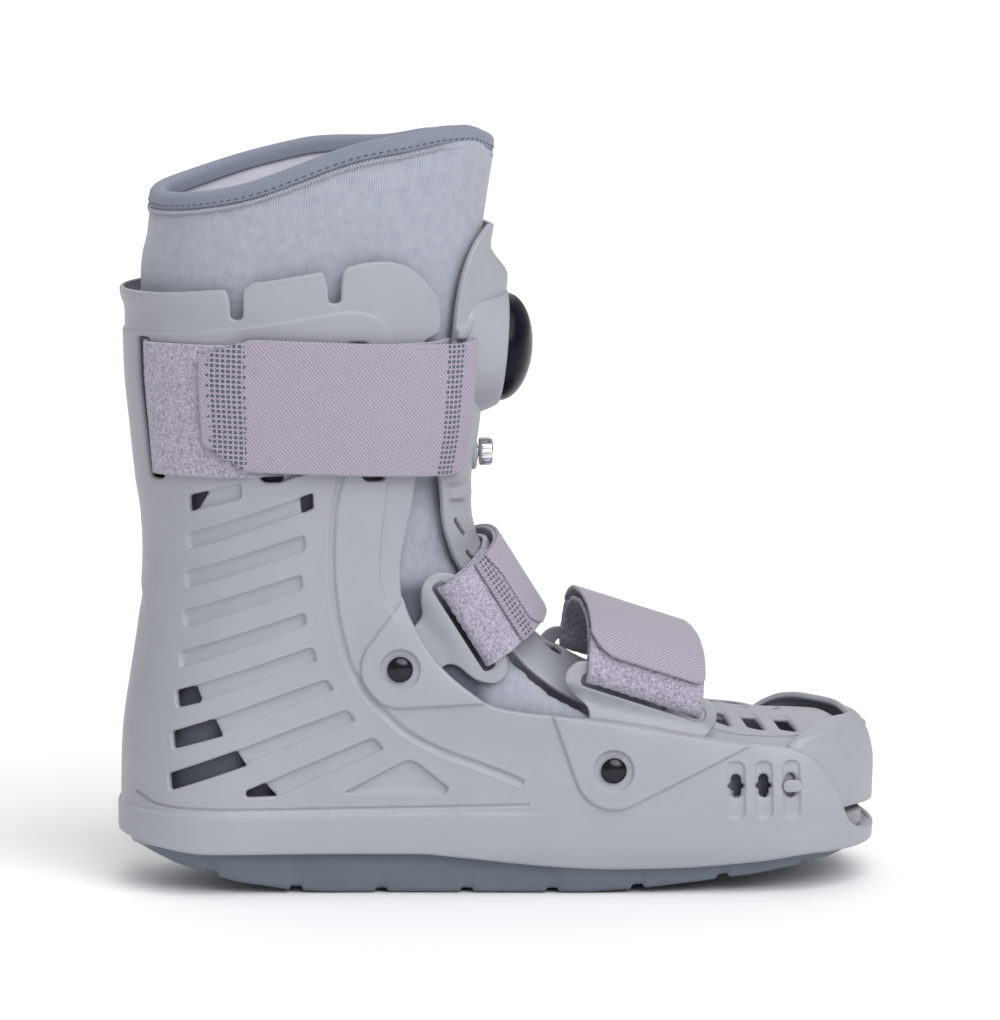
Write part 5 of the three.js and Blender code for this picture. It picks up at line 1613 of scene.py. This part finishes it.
def mark_dots(mesh: Mesh, bands: Line) -> None:
    """Marks where welded dots show.

    Args:
        mesh: the strap's mesh, with its flat map.
        bands: spans of the strap's length, in millimetres.
    """
    uv = np.zeros(len(mesh.loops) * 2)
    mesh.uv_layers["flat"].data.foreach_get("uv", uv)
    along = uv[::2] / MM
    mark = np.zeros(len(along))
    for a, b in bands:
        mark[(along > a) & (along < b)] = 1
    mesh.attributes.new("dots", "FLOAT", "CORNER").data.foreach_set("value", mark)


class CalfStrap:
    """The strap woven through the shell's slots, folded back through the plate to its free end."""

    FOLD: ClassVar[int] = 21  # the point of the path at which the strap folds back

    def __init__(self) -> None:
        """Lays out the path, by distance round from the heel's middle and height on the leg."""
        self.middle = (CALF_LOW + CALF_HIGH) / 2
        arc = self.arc
        rear, mid, front = (arc(x) for x, _ in STRAP_SLOTS)
        k = int(round(self.middle - FORM.levels[0]))
        past = FORM.shares > 2
        slot = float(np.interp(-28.2, -FORM.w[k][past], FORM.arc[k][past]))
        under, over, top = -4.3, 1.7, 4.0
        self.path = np.array([
            (0, under), (rear - 5, under), (rear - 3, -3.7), (rear + 3.4, 1.2), (rear + 6, over),
            (rear + 20, over), (mid - 6, over), (mid - 3, 0.9), (mid + 3, -3.6), (mid + 6, under),
            (front - 6, under),
            (front - 3, -3.6), (front + 3, 0.9), (front + 6, over), (arc(-38), over), (arc(-31), 1),
            (slot - 11.5, -3.9), (slot - 8, under - 0.3), (slot - 2.6, under - 0.3), (slot - 0.4, -3.2),
            (slot + 0.5, -0.4), (slot - 0.8, 3), (slot - 4, 4.2), (slot - 12, top + 0.4),
            (arc(-33), top + 0.2), (arc(-48), top), (front - 6, top), (mid + 14, top), (mid, top),
            (arc(-108), top), (arc(-114), top), (arc(-118.5), top),
        ])
        self.smooth = flowing(self.path, 0.8)
        self.length = lengths(self.smooth)
        corners = lengths(self.path)
        self.fold_at = corners[self.FOLD] / corners[-1] * self.length[-1]
        tangent = np.gradient(self.smooth, axis=0)
        self.tangent = tangent / np.linalg.norm(tangent, axis=1)[:, None]

    def arc(self, x: float) -> float:
        """Distance from the heel's middle at which the shell reaches x, half way up the strap."""
        return float(FORM.arc_of_x(np.array([float(x)]), np.array([self.middle]))[0])

    def place(self, flat: Points, height: Points) -> Points:
        """Lays flat points along the strap: distance along it from the heel's middle, and z."""
        s, d, ts, td = (np.interp(flat[:, 0], self.length, c) for c in (*self.smooth.T, *self.tangent.T))
        share = FORM.share_of_arc(np.maximum(0, s - td * height), np.full(len(s), self.middle))
        over = np.clip((flat[:, 0] - self.fold_at) / (self.length[-1] - self.fold_at), 0, 1)
        z = flat[:, 1] + (5.4 * over - 1.8) * smoothstep(0, 0.12, over)
        x, w = FORM.point(share, z, d + ts * height)
        return np.column_stack([x, -w, z])

    def build(self, shop: Workshop) -> None:
        """Makes the strap, with pile up to the fold and woven webbing after it."""
        total = float(self.length[-1])
        tail = [(total - 17, CALF_LOW), (total, CALF_LOW + 10), (total, CALF_HIGH - 8),
                (total - 19, CALF_HIGH)]
        edge = rounded([(0, CALF_LOW), *tail, (0, CALF_HIGH)], 1.4, closed=False)
        sheet = Sheet(edge, thickness=WEB, rounding=0.7, inner_rounding=0.7, spacing=2.4, midline=on_crown)
        mesh = sheet.build(lambda p, h: self.place(p, h + WEB / 2),
                           lambda p, side: (p[:, 0] > self.fold_at - 2).astype(int))
        obj = shop.piece("calf_strap_band", mesh, [PILE, WEBBING], Slot.STRAP, replaces=["calf_strap"])
        mark_dots(obj.data, ((self.fold_at + 9, self.fold_at + 17), (total - 17, total - 4)))


def slump(points: Points) -> Points:
    """Lets the liner's far side sit a little lower than its near side, as soft wear leaves it."""
    x, y, z = points.T
    front = smoothstep(-75, -30, x)
    heel = 1 - smoothstep(-110, -52, x)
    lean = np.where(y > 0, -4.6 * front * y / 35, (0.8 - 6.2 * heel) * (-y) / 38)
    return np.column_stack([x, y, z + lean * smoothstep(238, 290, z)])


@dataclass
class Liner:
    """The padded bootie: knit outside, brushed lining inside, and its edge binding."""

    RIM_LEVEL: ClassVar[float] = 285.0  # z at which the way round the rim is measured
    PERIMETER: ClassVar[float] = 400.0  # length of the binding on its flat map
    voxel: float = 2.2  # the form's grain before it is smoothed
    lining_start: float = 8.7  # how far inside the form the lining begins, at the heel and the toe

    def softened(self) -> Mesh:
        """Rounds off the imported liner's form, as foam under knit does.

        Returns:
            The softened mesh, in metres.
        """
        shape = bmesh.new()
        shape.from_mesh(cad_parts["liner"].data)
        bmesh.ops.remove_doubles(shape, verts=shape.verts[:], dist=MERGE)
        mesh = bpy.data.meshes.new("liner_form")
        shape.to_mesh(mesh)
        shape.free()
        obj = bpy.data.objects.new("liner_form", mesh)
        bpy.context.scene.collection.objects.link(obj)
        remesh = obj.modifiers.new("remesh", "REMESH")
        remesh.mode = "VOXEL"
        remesh.voxel_size = self.voxel * MM
        smooth = obj.modifiers.new("smooth", "SMOOTH")
        smooth.factor = 0.6
        smooth.iterations = 14
        soft = bpy.data.meshes.new_from_object(obj.evaluated_get(bpy.context.evaluated_depsgraph_get()))
        soft.materials.clear()
        bpy.data.objects.remove(obj)
        for attribute in list(soft.attributes):
            if attribute.name in ("uv", "UVMap"):
                soft.attributes.remove(attribute)
        return soft

    @staticmethod
    def mark_knit(soft: Mesh, at: Points) -> None:
        """Marks each point's way round the leg, and how much painted shadow the knit gets where the shell
        shades it.
        """
        x, y, z = at.T
        round_leg = FORM.arc_of_x(x, np.clip(z, 8, 305)) * np.where(y < 0, 1, -1)
        heel = (1 - smoothstep(-62, -54, x)) * (1 - smoothstep(212, 222, z))
        ankle = (1 - smoothstep(-16, -4, x)) * (1 - smoothstep(115, 129, z))
        toe = smoothstep(84, 92, x) * (1 - smoothstep(52, 58, z))
        # painted shadow at the heel, the ankle and the toe, where the shell shades the liner
        shadow = np.maximum(np.maximum(heel, toe), 1.3 * ankle)
        for name, value in (("round_leg", round_leg), ("heel", shadow)):
            soft.attributes.new(name, "FLOAT", "POINT").data.foreach_set("value", value)

    def build_body(self, shop: Workshop) -> None:
        """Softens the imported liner's form into padded knit, with its lining inside."""
        soft = self.softened()
        co = np.zeros(len(soft.vertices) * 3)
        soft.vertices.foreach_get("co", co)
        co = self.raised(co.reshape(-1, 3) / MM)
        soft.vertices.foreach_set("co", (slump(co) * MM).ravel())
        soft.update()
        roughen(soft, 0.5, 26)
        self.mark_knit(soft, co)
        middle = np.zeros(len(soft.polygons) * 3)
        soft.polygons.foreach_get("center", middle)
        x, y, z = (middle.reshape(-1, 3) / MM).T
        half = FORM.half_width(x, np.clip(z, 30, 305), LINER_OUT - LINER / 2)
        row = FORM.rows(z)
        back, front = row[:, 0] + self.lining_start, row[:, 1] - self.lining_start
        within = (np.abs(y) < half) & (x > back) & (x < front)
        soft.polygons.foreach_set("material_index", within.astype(int))
        soft.polygons.foreach_set("use_smooth", [True] * len(soft.polygons))
        obj = shop.piece("padded_liner", soft, [KNIT, LINING], Slot.LINER, replaces=["liner"])

    @staticmethod
    def raised(points: Points) -> Points:
        """Draws the softened body up into the binding and lets its front lean out a little.

        Args:
            points: the body's points, in millimetres.

        Returns:
            The moved points.
        """
        x, y, z = points.T
        stations = np.arange(-148, 6, 3.0)
        tops = np.array([z[np.abs(x - at) < 3].max() if (np.abs(x - at) < 3).any() else 0 for at in stations])
        seen = tops > 200
        highest = np.interp(x, stations[seen], tops[seen])
        line = flowing(RIM, 2.0)
        lift = np.interp(x, line[:, 0], line[:, 1]) - 3.4 - highest
        lean = 3.2 * smoothstep(246, 290, z) * smoothstep(-60, -15, x)
        return np.column_stack([x + lean, y, z + lift * smoothstep(highest - 45, highest - 2, z)])

    def rim_point(self, share: Points, out: Points, drop: Points) -> Points:
        """Places points near the top edge.

        Args:
            share: share of the way round the rim.
            out: how far out from the wall's middle.
            drop: how far down from the edge.

        Returns:
            The places, in millimetres.
        """
        share = share % 1.0
        side = np.where(share <= 0.5, -1, 1)
        arc = FORM.arc[int(self.RIM_LEVEL - FORM.levels[0])]
        half = np.interp(np.where(share <= 0.5, share, 1 - share) * 2 * arc[-1], arc, FORM.shares)
        level, middle = np.full(len(share), self.RIM_LEVEL), LINER_OUT - LINER / 2
        at, _ = FORM.point(half, level, np.full(len(share), middle))
        line = flowing(RIM, 2.0)
        z = np.interp(at, line[:, 0], line[:, 1]) - drop
        x, w = FORM.point(half, z, middle + out)
        return slump(np.column_stack([x, side * w, z]))

    def build_binding(self, shop: Workshop) -> None:
        """Makes the twill binding, its stitches and the braid under it."""
        w = LINER / 2 + 0.9
        outer = [(-w, 6.9), (-w - 0.1, 4), (-w + 0.1, 2), (-w + 1.2, 0.5), (0, 0), (w - 1.2, 0.5)]
        inner = [(w - 0.1, 2), (w + 0.1, 4), (w, 6.9), (w - 0.7, 7.2), (w - 1.2, 6.6), (0, 5.5),
                 (1.2 - w, 6.6), (0.7 - w, 7.2), (-w, 6.9)]
        section = np.array(outer + inner)
        along = lengths(section)

        def place(a: Points, b: Points) -> Points:
            """Sweeps the section round the rim."""
            out = np.interp(b * along[-1], along, section[:, 0])
            drop = np.interp(b * along[-1], along, section[:, 1])
            return self.rim_point(a, out, drop)

        mesh = swept(320, 30, place, lambda a, b: np.column_stack([a * self.PERIMETER, b * along[-1]]))
        shop.piece("rim_binding", mesh, [TWILL], Slot.BINDING, replaces=["liner_binding"])
        self.build_stitches(shop, "binding_stitches", THREAD, 128, w + 0.12, 0.32,
                            [((0.18, 5.4), (0.82, 5.4))])
        self.build_stitches(shop, "flatlock_braid", BRAID, 300, w + 0.05, 0.28,
                            [((0.0, 7.4), (0.5, 9.6)), ((0.5, 9.6), (1.0, 7.4))])

    def build_stitches(self, shop: Workshop, name: str, finish: Finish, count: int, out: float,
                       radius: float, pattern: Sequence[Line]) -> None:
        """Makes a row of stitches round the rim.

        Args:
            shop: the workshop.
            name: the piece's name.
            finish: the thread.
            count: repeats of the pattern round the rim.
            out: how far out from the wall's middle the stitches lie.
            radius: radius of the thread.
            pattern: the stitches of one repeat, from start to end, by share of the repeat and drop.
        """
        shape = bmesh.new()
        for k in range(count):
            for stitch in pattern:
                at = np.array([((k + t) / count, out, drop) for t, drop in stitch])
                self.stitch(shape, *(Vector(end) for end in self.rim_point(*at.T)), radius)
        shop.piece(name, finished(shape), [finish], Slot.BINDING)

    @staticmethod
    def stitch(shape: bmesh.types.BMesh, start: Vector, end: Vector, radius: float) -> None:
        """Adds one stitch between two points."""
        made = bmesh.ops.create_icosphere(shape, subdivisions=1, radius=1)["verts"]
        span = (end - start) * MM
        turn = span.to_track_quat("X", "Z").to_matrix().to_4x4()
        size = Matrix.Diagonal((span.length * 0.56, radius * MM, radius * MM, 1))
        middle = Matrix.Translation((start + end) / 2 * MM)
        bmesh.ops.transform(shape, matrix=middle @ turn @ size, verts=made)

    def build(self, shop: Workshop) -> None:
        """Makes the liner and its binding."""
        self.build_body(shop)
        self.build_binding(shop)


@dataclass(frozen=True)
class Slab:
    """A flat layer underfoot, swept from heel to toe inside the shell's form.

    Attributes:
        start: x of its heel end.
        length: length.
        level: z at which the form gives its outline.
        inset: how far in from the form it ends.
        middle: z of its middle.
        half: half its thickness.
        blunt: how square its edge is.
        columns: steps from heel to toe.
    """

    start: float
    length: float
    level: float
    inset: float
    middle: float
    half: float
    blunt: float
    columns: int = 180

    def place(self, along: Points, round_: Points) -> Points:
        """Places for shares of the way from heel to toe and round the section."""
        turn = round_ * 2 * math.pi
        x = self.start + self.length * along
        width = np.maximum(0, FORM.half_width(x, self.level, -self.inset))
        side = np.clip(1.3 * np.cos(turn), -1, 1)
        end = closing(along, self.columns)
        up = np.clip(self.blunt * np.sin(turn), -1, 1)
        return np.column_stack([x, side * width * end, self.middle + self.half * up * end])

    def mesh(self) -> Mesh:
        """The layer's mesh."""
        return swept(self.columns, 32, self.place)


@dataclass
class Sole:
    """The rocker sole with its cross grooves, the shell's floor on it and the insole that shows at the toe.

    Attributes:
        groove_first: x of the rearmost groove.
        groove_pitch: from one groove to the next.
        groove_depth: depth of the grooves.
        heel: x of the sole's rear end.
        length: length of the sole.
        top: z of its upper side.
        columns: steps from heel to toe.
    """

    LEVEL: ClassVar[float] = 20.0  # z at which the form gives the sole's outline

    groove_first: float = -117.0
    groove_pitch: float = 33.6
    groove_depth: float = 1.8
    heel: float = -145.6
    length: float = 292.6
    top: float = 18.4
    columns: int = 420

    def bottom(self, x: Points) -> Points:
        """Height of the underside, grooves included."""
        line = np.array(ROCKER)
        z = np.interp(x, line[:, 0], line[:, 1])
        half = self.groove_pitch / 2
        phase = np.abs((x - self.groove_first + half) % self.groove_pitch - half)
        return z + self.groove_depth * (1 - smoothstep(1.8, 3.0, phase))

    def place(self, along: Points, round_: Points) -> Points:
        """Places for shares of the way from heel to toe and round the section."""
        turn = round_ * 2 * math.pi
        x = self.heel + self.length * along
        low = self.bottom(x)
        up = np.clip(0.5 + 0.72 * np.sin(turn), 0, 1)
        z = np.minimum(low + (self.top - low) * up, self.top)
        inset = -3.6 - 3.9 * (1 - up) ** 1.4
        reach = np.maximum(0, FORM.half_width(x, self.LEVEL) + inset)
        side = np.clip(1.35 * np.cos(turn), -1, 1)
        end = closing(along, self.columns)
        middle = (self.top + low) / 2
        return np.column_stack([x, side * reach * end, middle + (z - middle) * end])

    def build(self, shop: Workshop) -> None:
        """Makes the shell's floor, the sole and the insole."""
        floor = Slab(start=-148.6, length=298.4, level=20, inset=1.2, middle=20.4, half=1.7, blunt=2.0)
        shop.piece("foot_plate", floor.mesh(), [PLASTIC], Slot.SHELL)
        sole = swept(self.columns, 48, self.place)
        shop.piece("rocker_sole", sole, [SOLE_RUBBER], Slot.SOLE, replaces=["sole"])
        insole = Slab(start=-146.2, length=291.6, level=26, inset=WALL + 1.4, middle=25.5, half=3.1,
                      blunt=1.6)
        shop.piece("foam_insole", insole.mesh(), [FOAM], Slot.INSOLE, replaces=["insole"])


ANKLE = StrapSet(
    name="ankle", rivet=RIVETS["ankle"][:2],
    outline=((-53, 86), (-48, 80), (-38, 80), (-24, 91.5), (-20, 91), (-12, 84.4), (-4, 83.4), (0.4, 88),
             (-0.4, 94.5), (-17.6, 124.5), (-22, 128), (-29.5, 128.4), (-34, 124), (-34.4, 117),
             (-33.4, 110.5), (-36, 106.8), (-45, 101), (-52, 95)),
    slot=(-2.6, 2.9), centre=(-17.6, 106.6), out=33, along=-58, width=37, bend=(-14, -4), plane=43.5,
    strap=((-27, 24.4), (-34.5, 20.2), (-41.5, 14.8), (-45.4, 9), (-45.5, 3.6), (-42.6, 0), (-39.9, 3.2),
           (-39.4, 8.5), (-35.6, 14), (-28, 19.4), (-16, 24), (0, 26.4)),
    cover=((-42.4, 16.9), (-38.8, 20.4), (-33.8, 23.8), (-27, 26.9), (-14, 29.7), (0, 30.6)),
    tab=True,
)
FOREFOOT = StrapSet(
    name="forefoot", rivet=RIVETS["forefoot"][:2],
    outline=((30, 50), (36, 41), (46, 41), (54, 50), (62, 60.4), (76, 60.8), (82, 65), (83, 72), (79.6, 76.4),
             (34, 92.8), (26.6, 92.6), (22, 88), (22.6, 82.4), (26.6, 78.2), (32, 74)),
    slot=(-2.7, 2.5), centre=(53.4, 77.6), out=84, along=-18.5, width=48, bend=(-9, -3), plane=47,
    strap=((-42.8, 18.8), (-47, 13.8), (-48.9, 8), (-49, 3), (-46.1, -0.3), (-43.2, 2.6), (-43, 7.5),
           (-41, 13), (-35.5, 18), (-23, 22.6), (0, 24.8)),
    cover=((-51.2, 9.5), (-49.6, 14.5), (-45.8, 19.6), (-37.5, 24), (-21, 27.4), (0, 28.4)),
    cover_cut=((5, 1, 0), (3, 1, 3), (3, -1, 9), (5.5, -1, 4), (10.5, -1, 0)),
)


@dataclass
class Studio:
    """Pale floor, soft lights and the camera at the photograph's view.

    Attributes:
        target: the point that the camera and the window light look at, in metres.
        distance: from the camera to it.
        elevation: how far the camera looks down, in degrees.
        azimuth: how far it stands round from the boot's side, in degrees.
        lens: focal length.
        surround: strength of the white surroundings.
        paper: half width of the floor.
    """

    target: tuple[float, float, float] = (0.0014, 0.0, 0.147)
    distance: float = 2.4
    elevation: float = 7.5
    azimuth: float = -6.0
    lens: float = 211.8
    surround: float = 0.38
    paper: float = 60.0

    @staticmethod
    def hang(obj: Object, where: Sequence[float], sight: Vector) -> None:
        """Puts a camera or a light in the scene, looking along a direction."""
        obj.location = where
        obj.rotation_euler = sight.to_track_quat("-Z", "Y").to_euler()
        bpy.context.scene.collection.objects.link(obj)

    def window(self, where: tuple[float, float, float], size: float, power: float) -> None:
        """Adds a soft square light that points at the boot."""
        lamp = bpy.data.lights.new("window", "AREA")
        lamp.size = size
        lamp.energy = power
        self.hang(bpy.data.objects.new("window", lamp), where, Vector(self.target) - Vector(where))

    def panel(self, name: str, sight: tuple[float, float, float], power: float, spread: float) -> None:
        """Adds a broad light from far off, its spread in degrees."""
        lamp = bpy.data.lights.new(name, "SUN")
        lamp.energy = power
        lamp.angle = math.radians(spread)
        self.hang(bpy.data.objects.new(name, lamp), (0, 0, 0), Vector(sight))

    def build(self, shop: Workshop) -> None:
        """Sets the stage."""
        scene = bpy.context.scene
        el, az = math.radians(self.elevation), math.radians(self.azimuth)
        sight = Vector((-math.sin(az) * math.cos(el), math.cos(az) * math.cos(el), -math.sin(el)))
        camera = bpy.data.objects.new("camera", bpy.data.cameras.new("camera"))
        camera.data.lens = self.lens
        camera.data.clip_end = 50
        self.hang(camera, Vector(self.target) - sight * self.distance, sight)
        scene.camera = camera
        scene.view_settings.view_transform = "Standard"
        scene.world = bpy.data.worlds.new("studio")
        scene.world.use_nodes = True
        background = scene.world.node_tree.nodes["Background"]
        background.inputs[0].default_value = (1, 1, 1, 1)
        background.inputs[1].default_value = self.surround
        shape = bmesh.new()
        bmesh.ops.create_grid(shape, x_segments=2, y_segments=2, size=self.paper)
        floor = bpy.data.objects.new("floor", finished(shape))
        floor.data.materials.append(shop.material(PAPER))
        scene.collection.objects.link(floor)
        self.panel("sky_panel", (-0.3, 0.72, -0.86), 2.6, 60)
        self.panel("fill_panel", (0.25, -0.8, -0.8), 0.8, 80)
        self.window((0.9, -1.9, 1.3), 0.5, 3)


def main() -> None:
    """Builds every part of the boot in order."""
    logging.basicConfig(level=logging.INFO)
    shop = Workshop()
    Studio().build(shop)
    plate = (ToeGuard(), FrontPlate(), ReleaseValve())
    for part in (Shell(), *plate, ANKLE, FOREFOOT, CalfStrap(), Liner(), Sole()):
        part.build(shop)
    bpy.context.view_layer.update()


if __name__ == "__main__":
    main()
